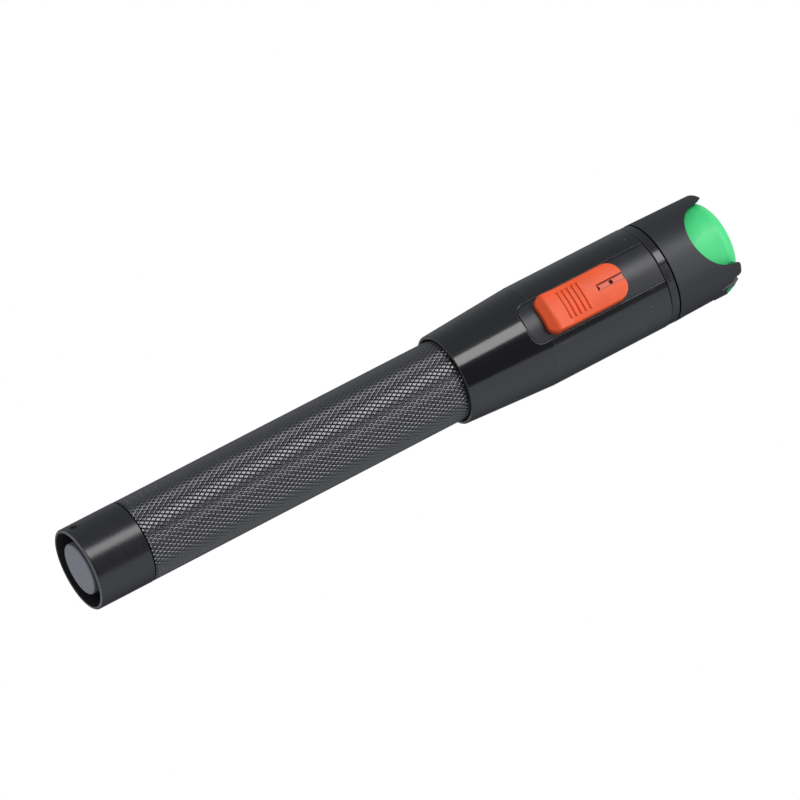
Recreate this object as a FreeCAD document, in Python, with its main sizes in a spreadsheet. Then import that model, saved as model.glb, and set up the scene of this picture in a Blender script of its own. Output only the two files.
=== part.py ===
import FreeCAD, Part
import math
import os
import Sketcher

# Pen-type visual fault locator, standing on its tail. Millimetres.
# +Z runs along the barrel from the tail rim (Z = 0) to the dust cap.
# The slide switch faces -Y, the dust cap hinges at +X.

SIZES = {
    # tail cap
    "tail_radius": 10.3,
    "tail_length": 14.6,
    "tail_edge_round": 0.45,
    "recess_radius": 9.55,
    "recess_depth": 4.6,
    "tail_floor": 2.4,
    "spigot_length": 8.0,
    "spigot_chamfer": 0.4,
    "lanyard_hole_radius": 0.95,
    "lanyard_hole_height": 2.35,
    "lanyard_hole_angle": 54,
    "magnet_radius": 6.5,
    "magnet_thickness": 4.3,
    "magnet_chamfer": 0.25,
    # seals
    "seal_groove_depth": 0.75,
    "seal_groove_width": 1.1,
    "seal_groove_offset": 0.8,
    "seal_clearance": 0.03,
    "seal_bevel": 0.15,
    # battery tube
    "seam_gap": 0.3,
    "grip_radius": 10.25,
    "thread_radius": 9.0,
    "thread_clearance": 0.05,
    "thread_depth": 8.6,
    "tube_bore": 7.5,
    "neck_radius": 9.9,
    "neck_length": 13.2,
    "shoulder_depth": 3.0,
    "tube_chamfer": 0.3,
    # cells and their contacts
    "cell_radius": 7.05,
    "cell_length": 50.2,
    "cell_bevel": 0.5,
    "button_radius": 2.7,
    "button_height": 1.2,
    "spring_radius": 5.6,
    "spring_wire": 0.4,
    "spring_height": 7.2,
    "spring_turns": 4,
    "contact_head_radius": 3.5,
    "contact_head_height": 0.6,
    "contact_shank_radius": 1.2,
    "contact_shank_length": 3.6,
    "insulator_thickness": 2.5,
    "insulator_inset": 1.5,
    # head housing
    "head_rear_radius": 11.5,
    "head_radius": 13.0,
    "taper_length": 24.2,
    "mouth_gap": 0.55,
    "lip_round": 0.3,
    "head_cavity_radius": 11.0,
    "fit_clearance": 0.05,
    "face_gap": 0.1,
    # switch bezel
    "bezel_width": 10.4,
    "bezel_rear_offset": 19.7,
    "bezel_corner": 2.6,
    "bezel_recess": 0.2,
    "bezel_seam": 0.15,
    "flange_width": 14.0,
    "flange_thickness": 0.95,
    "flange_margin": 1.2,
    # switch knob
    "knob_width": 10.0,
    "knob_length": 23.5,
    "knob_rear_margin": 4.25,
    "knob_rear_corner": 2.4,
    "knob_front_corner": 3.6,
    "knob_gap": 0.12,
    "knob_thickness": 1.7,
    "hump_height": 1.0,
    "hump_rear_drop": 0.5,
    "hump_crest_round": 1.6,
    "hump_foot_round": 5.0,
    "hump_peak": 2.4,
    "hump_end": 6.2,
    "knob_edge_round": 0.6,
    "rib_start": 6.5,
    "rib_pitch": 1.4,
    "rib_count": 5,
    "rib_height": 0.26,
    "rib_width": 0.8,
    "rib_angle": 28,
    "channel_width": 1.8,
    "channel_length": 7.7,
    "channel_depth": 1.0,
    "pilot_hole_radius": 0.55,
    "pilot_hole_pitch": 3.8,
    "knob_travel": 6.4,
    "stem_width": 3.2,
    "stem_length": 4.4,
    "stem_reach": 5.0,
    "slot_clearance": 0.3,
    # slide switch and driver board
    "board_height": 2.6,
    "board_thickness": 1.2,
    "board_width": 13.0,
    "board_front_margin": 1.3,
    "board_offset": 2.0,
    "case_width": 5.4,
    "case_length": 12.4,
    "case_height": 3.5,
    "case_wall": 0.7,
    "lever_width": 1.9,
    "lever_length": 2.0,
    "lever_height": 2.4,
    "lever_base_width": 3.4,
    "lever_base_length": 3.6,
    "lever_base_height": 1.5,
    "lever_clearance": 0.2,
    "chip_width": 3.9,
    "chip_length": 4.9,
    "chip_height": 1.5,
    "chip_margin": 1.4,
    "trimmer_side": 2.9,
    "trimmer_height": 2.0,
    "screw_radius": 0.8,
    "screw_length": 3.6,
    "screw_head_radius": 1.45,
    "screw_head_height": 0.9,
    "screw_inset": 2.2,
    # inner carrier
    "carrier_clearance": 0.15,
    # laser module
    "laser_radius": 4.5,
    "laser_length": 12.8,
    "laser_wire_room": 3.6,
    "laser_nose_length": 5.8,
    "diode_flange_radius": 2.8,
    "diode_flange_height": 1.2,
    "diode_can_radius": 1.78,
    "diode_can_height": 2.2,
    "diode_pin_radius": 0.22,
    "diode_pin_length": 2.8,
    "diode_pin_circle": 1.27,
    "aperture_radius": 2.0,
    "lens_radius": 3.0,
    "lens_thickness": 2.2,
    "lens_sphere": 5.0,
    "lens_seat_depth": 4.4,
    "retainer_bore": 1.8,
    "retainer_length": 1.4,
    "retainer_slot": 0.6,
    # collar ring and crown
    "groove_width": 0.3,
    "ring_width": 2.2,
    "ring_radius": 12.9,
    "ring_chamfer": 0.15,
    "crown_length": 18.2,
    "crown_base_radius": 12.95,
    "crown_tip_radius": 12.6,
    "crown_lip_round": 0.5,
    "cup_radius": 11.25,
    "ledge_radius": 10.2,
    "ledge_height": 7.7,
    "crown_floor_height": 1.0,
    "crown_floor_thickness": 3.0,
    "crown_spigot_length": 6.6,
    "crown_spigot_wall": 1.35,
    "scallop_radius": 8.85,
    "scallop_drop": 1.4,
    "notch_radius": 5.6,
    "notch_drop": 0.8,
    "horn_round": 1.4,
    # fibre port
    "port_hole_radius": 4.0,
    "port_thread_clearance": 0.08,
    "port_flange_radius": 5.2,
    "port_flange_height": 1.0,
    "port_nose_radius": 3.6,
    "port_nose_length": 5.2,
    "port_tail_length": 6.4,
    "port_lip": 0.4,
    "port_stop_length": 1.2,
    "port_window_radius": 1.42,
    "port_nut_flats": 10.4,
    "port_nut_height": 2.4,
    "sleeve_radius": 1.62,
    "ferrule_radius": 1.26,
    "sleeve_clearance": 0.02,
    # dust cap and its hinge
    "cap_clearance": 0.25,
    "cap_crown_round": 3.2,
    "cap_top_above_pin": 3.0,
    "cap_top_thickness": 2.2,
    "cap_seat_gap": 0.2,
    "cap_swing_gap": 0.06,
    "cap_relief_angle": 60,
    "cap_cavity_radius": 9.0,
    "cap_heel_x": 6.4,
    "cap_heel_half_width": 4.3,
    "cap_relief_radius": 3.1,
    "pin_below_tip": 2.1,
    "pin_inset": 0.25,
    "pin_radius": 0.6,
    "pin_clearance": 0.04,
    "knuckle_radius": 1.4,
    "knuckle_half_width": 2.0,
    "ear_gap": 0.2,
    "ear_thickness": 1.2,
    "bracket_half_width": 3.5,
    "bracket_base": 2.0,
    "bracket_seam": 0.12,
}

SHEET_NAME = "sizes"
MARGIN = 3.0
FULL_TURN = 360
HALF = 0.5
# how near to a wall the middle of an edge lies that belongs to it
SNAP = 0.05
SPRING_SIDES = 8


class Size:
    """A length that carries its number and the sheet expression it comes from."""

    def __init__(self, value, text):
        self.value = value
        self.text = text

    @staticmethod
    def of(other):
        if isinstance(other, Size):
            return other
        return Size(float(other), repr(float(other)))

    def __add__(self, other):
        other = Size.of(other)
        return Size(self.value + other.value, f"({self.text} + {other.text})")

    def __sub__(self, other):
        other = Size.of(other)
        return Size(self.value - other.value, f"({self.text} - {other.text})")

    def __mul__(self, factor):
        factor = Size.of(factor)
        return Size(self.value * factor.value, f"({self.text} * {factor.text})")

    def __truediv__(self, divisor):
        divisor = Size.of(divisor)
        return Size(self.value / divisor.value, f"({self.text} / {divisor.text})")

    def __neg__(self):
        return Size(-self.value, f"(-1 * {self.text})")

    def __radd__(self, other):
        return Size.of(other) + self

    def __rsub__(self, other):
        return Size.of(other) - self

    def __rmul__(self, factor):
        return self * factor


ZERO = Size(0.0, "0")


def root(size):
    """Square root of a size, in the sheet's own terms."""
    return Size(math.sqrt(size.value), f"sqrt({size.text})")


def fill_sheet(doc):
    """Write every driving dimension into the document's spreadsheet."""
    sheet = doc.addObject("Spreadsheet::Sheet", SHEET_NAME)
    for row, (alias, value) in enumerate(SIZES.items(), start=1):
        sheet.set(f"A{row}", alias)
        sheet.set(f"B{row}", str(value))
        sheet.setAlias(f"B{row}", alias)
    doc.recompute()
    return sheet


doc = FreeCAD.newDocument("visual_fault_locator")
sheet = fill_sheet(doc)


def cell(alias):
    """The named cell of the sheet as a Size."""
    return Size(float(getattr(sheet, alias)), f"{SHEET_NAME}.{alias}")


# ---------------------------------------------------------------- shared stations along Z

TUBE_REAR = cell("tail_length") + cell("seam_gap")
CELLS_REAR = cell("recess_depth") + cell("tail_floor") + cell("spring_height")
CELLS_FRONT = CELLS_REAR + cell("cell_length") * 2
INSULATOR_REAR = CELLS_FRONT + cell("contact_head_height")
CARRIER_NOSE = INSULATOR_REAR + cell("insulator_thickness")
TUBE_FRONT = CARRIER_NOSE + cell("insulator_inset")
SHOULDER = TUBE_FRONT - cell("neck_length")
HEAD_REAR = SHOULDER - cell("shoulder_depth")
TAPER_END = HEAD_REAR + cell("taper_length")
CARRIER_REAR = TUBE_FRONT + cell("face_gap")
BOARD_REAR = CARRIER_REAR + cell("board_offset")
BOARD_FACE = cell("board_height") + cell("board_thickness")
KNOB_REAR = HEAD_REAR + cell("bezel_rear_offset") + cell("knob_rear_margin")
STEM_MIDDLE = KNOB_REAR + cell("knob_length") * HALF - cell("knob_travel") * HALF
SWITCH_MIDDLE = STEM_MIDDLE + cell("knob_travel") * HALF
BOARD_FRONT = SWITCH_MIDDLE + cell("case_length") * HALF + cell("board_front_margin")
LASER_REAR = BOARD_FRONT + cell("face_gap")
LASER_FRONT = LASER_REAR + cell("laser_length")
CARRIER_FRONT = LASER_REAR + cell("laser_length") - cell("laser_nose_length")
SPIGOT_REAR = CARRIER_FRONT + cell("face_gap")
HEAD_FRONT = SPIGOT_REAR + cell("crown_spigot_length")
RING_REAR = HEAD_FRONT + cell("groove_width")
CROWN_REAR = RING_REAR + cell("ring_width") + cell("groove_width")
CROWN_TIP = CROWN_REAR + cell("crown_length")
CROWN_FLOOR = CROWN_REAR + cell("crown_floor_height") + cell("crown_floor_thickness")
BEZEL_OUTER = cell("head_radius") - cell("bezel_recess")
KNOB_UNDER = BEZEL_OUTER + cell("knob_gap")
KNOB_TOP = KNOB_UNDER + cell("knob_thickness")
STEM_FOOT = KNOB_UNDER - cell("stem_reach")
CAP_RADIUS = cell("cup_radius") - cell("cap_clearance")
PIN_HEIGHT = CROWN_TIP - cell("pin_below_tip")
PIN_X = cell("cup_radius") - cell("pin_inset")
CAP_TOP = PIN_HEIGHT + cell("cap_top_above_pin")
CAP_SKIRT = CROWN_REAR + cell("ledge_height") + cell("cap_seat_gap")
TAIL_CAVITY = cell("tube_bore")
SPIGOT_RADIUS = cell("thread_radius") - cell("thread_clearance")
PORT_THREAD = cell("port_hole_radius") - cell("port_thread_clearance")
PORT_REAR = CROWN_FLOOR - cell("port_tail_length")
PORT_FRONT = CROWN_FLOOR + cell("port_flange_height") + cell("port_nose_length")


# ---------------------------------------------------------------- modelling helpers


def new_body(label):
    body = doc.addObject("PartDesign::Body", label)
    body.Label = label
    return body


def origin_plane(body, role):
    for feature in body.Origin.OriginFeatures:
        if feature.Role == role:
            return feature
    raise ValueError(role)


def new_sketch(body, name, role, lift=ZERO, across=ZERO, up=ZERO):
    """A sketch on an origin plane, moved by across and up in it and by lift along its normal."""
    sketch = body.newObject("Sketcher::SketchObject", name)
    sketch.AttachmentSupport = [(origin_plane(body, role), "")]
    sketch.MapMode = "FlatFace"
    for axis, size in (("x", across), ("y", up), ("z", lift)):
        if size is not ZERO:
            sketch.setExpression(f"AttachmentOffset.Base.{axis}", size.text)
    return sketch


def tie(sketch, kind, *where_and_size):
    """Add one dimension to a sketch and bind it to the sheet."""
    where = where_and_size[:-1]
    size = Size.of(where_and_size[-1])
    index = sketch.addConstraint(Sketcher.Constraint(kind, *where, size.value))
    if not size.text.replace(".", "").replace("-", "").isdigit():
        sketch.setExpression(f"Constraints[{index}]", size.text)


def tie_point(sketch, geometry, end, u, v):
    tie(sketch, "DistanceX", -1, 1, geometry, end, u)
    tie(sketch, "DistanceY", -1, 1, geometry, end, v)


def draw_loop(sketch, points):
    """Draw a closed outline of straight lines with every corner tied to the sheet."""
    corners = [FreeCAD.Vector(Size.of(u).value, Size.of(v).value, 0) for u, v in points]
    first = sketch.GeometryCount
    count = len(corners)
    for index, start in enumerate(corners):
        sketch.addGeometry(Part.LineSegment(start, corners[(index + 1) % count]), False)
    for index in range(count):
        follower = first + (index + 1) % count
        sketch.addConstraint(Sketcher.Constraint("Coincident", first + index, 2, follower, 1))
    for index, (u, v) in enumerate(points):
        tie_point(sketch, first + index, 1, u, v)


def draw_circle(sketch, radius, u=ZERO, v=ZERO):
    centre = FreeCAD.Vector(Size.of(u).value, Size.of(v).value, 0)
    circle = Part.Circle(centre, FreeCAD.Vector(0, 0, 1), radius.value)
    index = sketch.addGeometry(circle, False)
    tie(sketch, "Radius", index, radius)
    tie_point(sketch, index, 3, u, v)


def draw_box(sketch, u_low, u_high, v_low, v_high):
    draw_loop(sketch, [(u_low, v_low), (u_high, v_low), (u_high, v_high), (u_low, v_high)])


def feature(body, kind, name, sketch, **settings):
    made = body.newObject(kind, name)
    made.Profile = sketch
    for key, value in settings.items():
        if isinstance(value, Size):
            made.setExpression(key, value.text)
        else:
            setattr(made, key, value)
    return made


def revolve(body, name, points, up=ZERO, angle=FULL_TURN, cut=False):
    """Turn an outline given as (radius, height) pairs about the Z axis."""
    sketch = new_sketch(body, name + "_outline", "XZ_Plane", up=up)
    draw_loop(sketch, points)
    kind = "PartDesign::Groove" if cut else "PartDesign::Revolution"
    made = feature(body, kind, name, sketch, Angle=angle, Midplane=True)
    made.ReferenceAxis = (sketch, ["V_Axis"])
    return made


def pad(body, name, sketch, length, reverse=False, both=False):
    return feature(body, "PartDesign::Pad", name, sketch, Length=length, Reversed=reverse, Midplane=both)


def pocket(body, name, sketch, length=None, reverse=False, both=False):
    """Cut a sketch out of the body, through everything where no length is given."""
    made = feature(body, "PartDesign::Pocket", name, sketch, Reversed=reverse, Midplane=both)
    if length is None:
        made.Type = "ThroughAll"
    else:
        made.setExpression("Length", Size.of(length).text)
    return made


def edges_where(shape, test):
    return [f"Edge{index}" for index, edge in enumerate(shape.Edges, start=1) if test(edge)]


def is_ring(edge, radius, height):
    """True for a circle about Z of the given radius and height."""
    curve = edge.Curve
    if not isinstance(curve, Part.Circle):
        return False
    same_radius = abs(curve.Radius - Size.of(radius).value) < 0.01
    same_height = abs(curve.Center.z - Size.of(height).value) < 0.01
    on_axis = math.hypot(curve.Center.x, curve.Center.y) < 0.01
    return same_radius and same_height and on_axis


def dress(body, kind, name, test, size_name, size):
    """Round or bevel the edges of the body's newest shape that pass the test."""
    doc.recompute()
    base = body.Tip
    names = edges_where(base.Shape, test)
    if not names:
        raise ValueError(f"{body.Label}: {name} finds no edge")
    made = body.newObject(kind, name)
    made.Base = (base, names)
    made.setExpression(size_name, size.text)
    return made


def fillet(body, name, test, radius):
    return dress(body, "PartDesign::Fillet", name, test, "Radius", radius)


def chamfer(body, name, test, size):
    return dress(body, "PartDesign::Chamfer", name, test, "Size", size)


def place(thing, z=ZERO, turn=0.0):
    """Set a sub-part at its height, turned about Z by so many degrees."""
    thing.Placement = FreeCAD.Placement(FreeCAD.Vector(0, 0, z.value), FreeCAD.Rotation(turn, 0, 0))
    if z is not ZERO:
        thing.setExpression("Placement.Base.z", z.text)


def bind(thing, **sizes):
    for key, size in sizes.items():
        thing.setExpression(key, Size.of(size).text)


# ---------------------------------------------------------------- tail end


def make_tail_cap():
    body = new_body("tail_cap")
    rim = cell("recess_radius")
    outer = cell("tail_radius")
    shoulder = cell("tail_length")
    floor_top = cell("recess_depth") + cell("tail_floor")
    groove_rear = shoulder + cell("seal_groove_offset")
    groove_front = groove_rear + cell("seal_groove_width")
    groove_root = SPIGOT_RADIUS - cell("seal_groove_depth")
    end = shoulder + cell("spigot_length")
    revolve(body, "turned_cap", [
        (rim, ZERO), (outer, ZERO), (outer, shoulder), (SPIGOT_RADIUS, shoulder),
        (SPIGOT_RADIUS, groove_rear), (groove_root, groove_rear),
        (groove_root, groove_front), (SPIGOT_RADIUS, groove_front),
        (SPIGOT_RADIUS, end), (TAIL_CAVITY, end), (TAIL_CAVITY, floor_top),
        (ZERO, floor_top), (ZERO, cell("recess_depth")), (rim, cell("recess_depth")),
    ])
    fillet(body, "rim_round", lambda edge: is_ring(edge, outer, 0.0), cell("tail_edge_round"))
    chamfer(body, "spigot_lead", lambda edge: is_ring(edge, SPIGOT_RADIUS, end), cell("spigot_chamfer"))
    hole = new_sketch(body, "lanyard_hole_outline", "XZ_Plane")
    draw_circle(hole, cell("lanyard_hole_radius"), ZERO, cell("lanyard_hole_height"))
    pocket(body, "lanyard_hole", hole, reverse=True)
    place(body, turn=-cell("lanyard_hole_angle").value)
    return body


def make_tail_magnet():
    body = new_body("tail_magnet")
    radius = cell("magnet_radius")
    disc = new_sketch(body, "disc_outline", "XY_Plane")
    draw_circle(disc, radius)
    pad(body, "disc", disc, cell("magnet_thickness"))
    chamfer(body, "disc_edge", lambda edge: is_ring(edge, radius, 0.0), cell("magnet_chamfer"))
    place(body, cell("recess_depth") - cell("magnet_thickness"))
    return body


def make_tail_spring():
    """Round-wire compression spring between the tail cap's floor and the rear cell."""
    wire = cell("spring_wire")
    rise = cell("spring_height") - wire * 2 - cell("face_gap") * 2
    helix = doc.addObject("Part::Helix", "spring_path")
    bind(helix, Radius=cell("spring_radius"), Height=rise, Pitch=rise / cell("spring_turns"))
    section = doc.addObject("Part::RegularPolygon", "spring_section")
    section.Polygon = SPRING_SIDES
    bind(section, Circumradius=wire)
    section.Placement = FreeCAD.Placement(FreeCAD.Vector(), FreeCAD.Rotation(FreeCAD.Vector(1, 0, 0), 90))
    section.setExpression("Placement.Base.x", cell("spring_radius").text)
    spring = doc.addObject("Part::Sweep", "tail_spring")
    spring.Label = "tail_spring"
    spring.Sections = [section]
    spring.Spine = (helix, ["Edge1"])
    spring.Solid = True
    spring.Frenet = True
    place(spring, cell("recess_depth") + cell("tail_floor") + wire + cell("face_gap"))
    return spring


def make_seal(label, seat_radius, wall_radius, groove_rear):
    """Square-section seal ring with bevelled corners, between a groove's root and the wall around it."""
    body = new_body(label)
    inner = seat_radius - cell("seal_groove_depth") + cell("seal_clearance")
    outer = wall_radius - cell("seal_clearance")
    half = (outer - inner) * HALF
    bevel = cell("seal_bevel")
    revolve(body, label + "_ring", [
        (inner, bevel - half), (inner + bevel, -half), (outer - bevel, -half), (outer, bevel - half),
        (outer, half - bevel), (outer - bevel, half), (inner + bevel, half), (inner, half - bevel),
    ])
    place(body, groove_rear + cell("seal_groove_width") * HALF)
    return body


# ---------------------------------------------------------------- tube and cells


def make_battery_tube():
    body = new_body("battery_tube")
    grip = cell("grip_radius")
    socket = cell("thread_radius")
    bore = cell("tube_bore")
    neck = cell("neck_radius")
    shoulder = SHOULDER - TUBE_REAR
    front = TUBE_FRONT - TUBE_REAR
    groove_rear = shoulder + cell("seal_groove_offset")
    groove_front = groove_rear + cell("seal_groove_width")
    groove_root = neck - cell("seal_groove_depth")
    revolve(body, "turned_tube", [
        (socket, ZERO), (grip, ZERO), (grip, shoulder), (neck, shoulder),
        (neck, groove_rear), (groove_root, groove_rear), (groove_root, groove_front), (neck, groove_front),
        (neck, front), (bore, front), (bore, cell("thread_depth")), (socket, cell("thread_depth")),
    ])
    chamfer(body, "rear_bevel", lambda edge: is_ring(edge, grip, 0.0), cell("tube_chamfer"))
    place(body, TUBE_REAR)
    return body


def make_cell(label, rear):
    """Size AA cell with its button facing the head."""
    body = new_body(label)
    radius = cell("cell_radius")
    can = cell("cell_length") - cell("button_height")
    revolve(body, "cell_outline", [
        (ZERO, ZERO), (radius, ZERO), (radius, can), (cell("button_radius"), can),
        (cell("button_radius"), cell("cell_length")), (ZERO, cell("cell_length")),
    ])
    chamfer(
        body, "can_edges",
        lambda edge: is_ring(edge, radius, 0.0) or is_ring(edge, radius, can),
        cell("cell_bevel"),
    )
    place(body, rear)
    return body


def make_front_contact():
    body = new_body("front_contact")
    head = cell("contact_head_radius")
    shank = cell("contact_shank_radius")
    thick = cell("contact_head_height")
    end = thick + cell("contact_shank_length")
    revolve(body, "contact_rivet", [
        (ZERO, ZERO), (head, ZERO), (head, thick), (shank, thick), (shank, end), (ZERO, end),
    ])
    place(body, CELLS_FRONT)
    return body


def make_contact_insulator():
    body = new_body("contact_insulator")
    outline = new_sketch(body, "insulator_outline", "XY_Plane")
    draw_circle(outline, cell("tube_bore") - cell("carrier_clearance"))
    draw_circle(outline, cell("contact_shank_radius") + cell("fit_clearance"))
    pad(body, "insulator_disc", outline, cell("insulator_thickness"))
    place(body, INSULATOR_REAR)
    return body


# ---------------------------------------------------------------- head housing and switch


def make_head_housing():
    """Tapered barrel with a window, open at the front, for the switch bezel."""
    body = new_body("head_housing")
    mouth = cell("grip_radius") + cell("mouth_gap")
    seat = cell("neck_radius") + cell("fit_clearance")
    cavity = cell("head_cavity_radius")
    step = cell("shoulder_depth")
    cavity_rear = CARRIER_REAR - HEAD_REAR
    front = HEAD_FRONT - HEAD_REAR
    revolve(body, "housing_wall", [
        (mouth, ZERO), (cell("head_rear_radius"), ZERO), (cell("head_radius"), cell("taper_length")),
        (cell("head_radius"), front), (cavity, front), (cavity, cavity_rear), (seat, cavity_rear),
        (seat, step), (mouth, step),
    ])
    fillet(body, "lip_round", lambda edge: is_ring(edge, cell("head_rear_radius"), 0.0), cell("lip_round"))
    window = new_sketch(body, "window_outline", "XZ_Plane")
    half = cell("bezel_width") * HALF + cell("bezel_seam")
    rear = cell("bezel_rear_offset") - cell("bezel_seam")
    draw_box(window, -half, half, rear, front + MARGIN)
    pocket(body, "bezel_window", window, reverse=True)
    fillet(
        body, "window_corners",
        lambda edge: is_across(edge, half, rear),
        cell("bezel_corner") + cell("bezel_seam"),
    )
    place(body, HEAD_REAR)
    return body


def is_across(edge, x, z):
    """True for a straight edge along Y at plus or minus x and at height z."""
    if not isinstance(edge.Curve, Part.Line):
        return False
    middle = edge.CenterOfMass
    along_y = abs(edge.tangentAt(edge.FirstParameter).y) > 0.99
    return along_y and abs(abs(middle.x) - x.value) < 0.01 and abs(middle.z - z.value) < 0.01


def make_switch_bezel():
    """Satin insert flush in the housing window, held by a flange behind the wall."""
    body = new_body("switch_bezel")
    start = HEAD_REAR + cell("bezel_rear_offset")
    reach = cell("head_radius") + MARGIN
    half = cell("bezel_width") * HALF
    flange_half = cell("flange_width") * HALF
    flange_outer = cell("head_cavity_radius") - cell("fit_clearance")
    flange_inner = flange_outer - cell("flange_thickness")
    length = HEAD_FRONT - start
    margin = cell("flange_margin")
    flange_end = SPIGOT_REAR - cell("face_gap") - start
    flange = new_sketch(body, "flange_outline", "XZ_Plane")
    draw_box(flange, -flange_half, flange_half, -margin, flange_end)
    pad(body, "flange_block", flange, reach)
    revolve(body, "flange_turning", [
        (flange_outer, -margin - MARGIN), (reach + MARGIN, -margin - MARGIN),
        (reach + MARGIN, length + MARGIN), (flange_outer, length + MARGIN),
    ], cut=True)
    face = new_sketch(body, "face_outline", "XZ_Plane")
    draw_box(face, -half, half, ZERO, length)
    pad(body, "face_block", face, reach)
    fillet(body, "rear_corners", lambda edge: is_across(edge, half, ZERO), cell("bezel_corner"))
    revolve(body, "face_turning", [
        (BEZEL_OUTER, -MARGIN), (reach + MARGIN, -MARGIN),
        (reach + MARGIN, length + MARGIN), (BEZEL_OUTER, length + MARGIN),
    ], cut=True)
    seated = new_sketch(body, "hollow_outline", "XY_Plane", lift=-margin - MARGIN)
    draw_circle(seated, flange_inner)
    pocket(body, "hollow", seated, reverse=True)
    relief = new_sketch(body, "spigot_relief_outline", "XY_Plane", lift=flange_end)
    draw_circle(relief, flange_outer)
    pocket(body, "spigot_relief", relief, reverse=True)
    slot = new_sketch(body, "stem_slot_outline", "XZ_Plane")
    slot_half = cell("stem_width") * HALF + cell("slot_clearance")
    stem_half = cell("stem_length") * HALF + cell("slot_clearance")
    slot_rear = STEM_MIDDLE - start - stem_half
    slot_front = STEM_MIDDLE - start + stem_half + cell("knob_travel")
    draw_box(slot, -slot_half, slot_half, slot_rear, slot_front)
    pocket(body, "stem_slot", slot, reverse=True)
    place(body, start)
    return body


def knob_top_outline():
    """The side view of what is cut away above the knob: hump at the rear, flat to the front."""
    top = KNOB_TOP
    peak = top + cell("hump_height")
    low = top - cell("hump_rear_drop")
    sky = peak + MARGIN
    end = cell("knob_length") + MARGIN
    return [
        (low, -MARGIN), (sky, -MARGIN), (sky, end), (top, end),
        (top, cell("hump_end")), (peak, cell("hump_peak")), (low, ZERO),
    ]


def make_switch_knob():
    """Sliding knob: rounded plate following the barrel, thumb hump, ribs, open channel, stem."""
    body = new_body("switch_knob")
    half = cell("knob_width") * HALF
    length = cell("knob_length")
    reach = KNOB_TOP + MARGIN
    plate = new_sketch(body, "plate_outline", "XZ_Plane")
    draw_box(plate, -half, half, ZERO, length)
    pad(body, "plate_block", plate, reach)
    fillet(body, "rear_corners", lambda edge: is_across(edge, half, ZERO), cell("knob_rear_corner"))
    fillet(body, "front_corners", lambda edge: is_across(edge, half, length), cell("knob_front_corner"))
    revolve(body, "thumb_face", knob_top_outline(), cut=True)
    crest = KNOB_TOP + cell("hump_height")
    fillet(body, "hump_crest", lambda edge: is_ring(edge, crest, cell("hump_peak")), cell("hump_crest_round"))
    fillet(body, "hump_foot", lambda edge: is_ring(edge, KNOB_TOP, cell("hump_end")), cell("hump_foot_round"))
    under = new_sketch(body, "underside_outline", "XY_Plane", lift=-length)
    draw_circle(under, KNOB_UNDER)
    pocket(body, "underside", under, reverse=True)
    fillet(body, "plate_edge", is_knob_rim, cell("knob_edge_round"))
    add_knob_ribs(body)
    channel = new_sketch(body, "channel_outline", "XZ_Plane", lift=KNOB_TOP - cell("channel_depth"))
    channel_half = cell("channel_width") * HALF
    channel_rear = length - cell("channel_length")
    draw_box(channel, -channel_half, channel_half, channel_rear, length + MARGIN)
    pocket(body, "channel", channel, reverse=True)
    pilots = new_sketch(body, "pilot_outline", "XZ_Plane", lift=KNOB_TOP - cell("channel_depth"))
    for step in range(2):
        pilot_height = channel_rear + channel_half * HALF + cell("pilot_hole_pitch") * step
        draw_circle(pilots, cell("pilot_hole_radius"), ZERO, pilot_height)
    pocket(body, "pilot_holes", pilots, cell("knob_thickness"))
    stem = new_sketch(body, "stem_outline", "XZ_Plane", lift=STEM_FOOT)
    stem_half = cell("stem_width") * HALF
    stem_rear = STEM_MIDDLE - KNOB_REAR - cell("stem_length") * HALF
    draw_box(stem, -stem_half, stem_half, stem_rear, stem_rear + cell("stem_length"))
    pad(body, "stem", stem, cell("stem_reach") + cell("knob_gap") * 2)
    add_lever_fork(body)
    place(body, KNOB_REAR)
    return body


def is_knob_rim(edge):
    """True for the edges round the knob's top face, where it meets the side walls."""
    box = edge.BoundBox
    near_top = math.hypot(box.XMax if abs(box.XMax) > abs(box.XMin) else box.XMin, box.YMin)
    high = min(math.hypot(vertex.Point.x, vertex.Point.y) for vertex in edge.Vertexes)
    half = SIZES["knob_width"] * HALF
    length = SIZES["knob_length"]
    corner = max(SIZES["knob_rear_corner"], SIZES["knob_front_corner"])
    middle = edge.CenterOfMass
    on_side = abs(abs(middle.x) - half) < SNAP
    on_end = middle.z < SNAP or middle.z > length - SNAP
    in_corner = abs(middle.x) > half - corner and (middle.z < corner or middle.z > length - corner)
    floor = (KNOB_UNDER + cell("knob_thickness") * HALF * HALF).value
    above = high > floor and near_top > floor
    return above and (on_side or on_end or in_corner)


def add_knob_ribs(body):
    """Fine cross ribs standing on the knob's face, turned about the barrel's axis."""
    sketch = new_sketch(body, "rib_outline", "YZ_Plane")
    low = -(KNOB_TOP - cell("rib_height"))
    high = -(KNOB_TOP + cell("rib_height"))
    half = cell("rib_width") * HALF
    for index in range(int(cell("rib_count").value)):
        middle = cell("rib_start") + cell("rib_pitch") * index
        draw_loop(sketch, [
            (low, middle - half), (high, middle - half * HALF), (high, middle + half * HALF), (low, middle + half),
        ])
    ribs = feature(body, "PartDesign::Revolution", "ribs", sketch, Angle=cell("rib_angle"), Midplane=True)
    ribs.ReferenceAxis = (sketch, ["V_Axis"])


def add_lever_fork(body):
    """Pocket in the stem's foot that takes the switch lever."""
    fork = new_sketch(body, "fork_outline", "XZ_Plane", lift=STEM_FOOT)
    half = cell("lever_width") * HALF + cell("fit_clearance")
    middle = STEM_MIDDLE - KNOB_REAR
    lever_half = cell("lever_length") * HALF + cell("fit_clearance")
    draw_box(fork, -half, half, middle - lever_half, middle + lever_half)
    pocket(body, "lever_fork", fork, cell("lever_height"), reverse=True)


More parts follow.
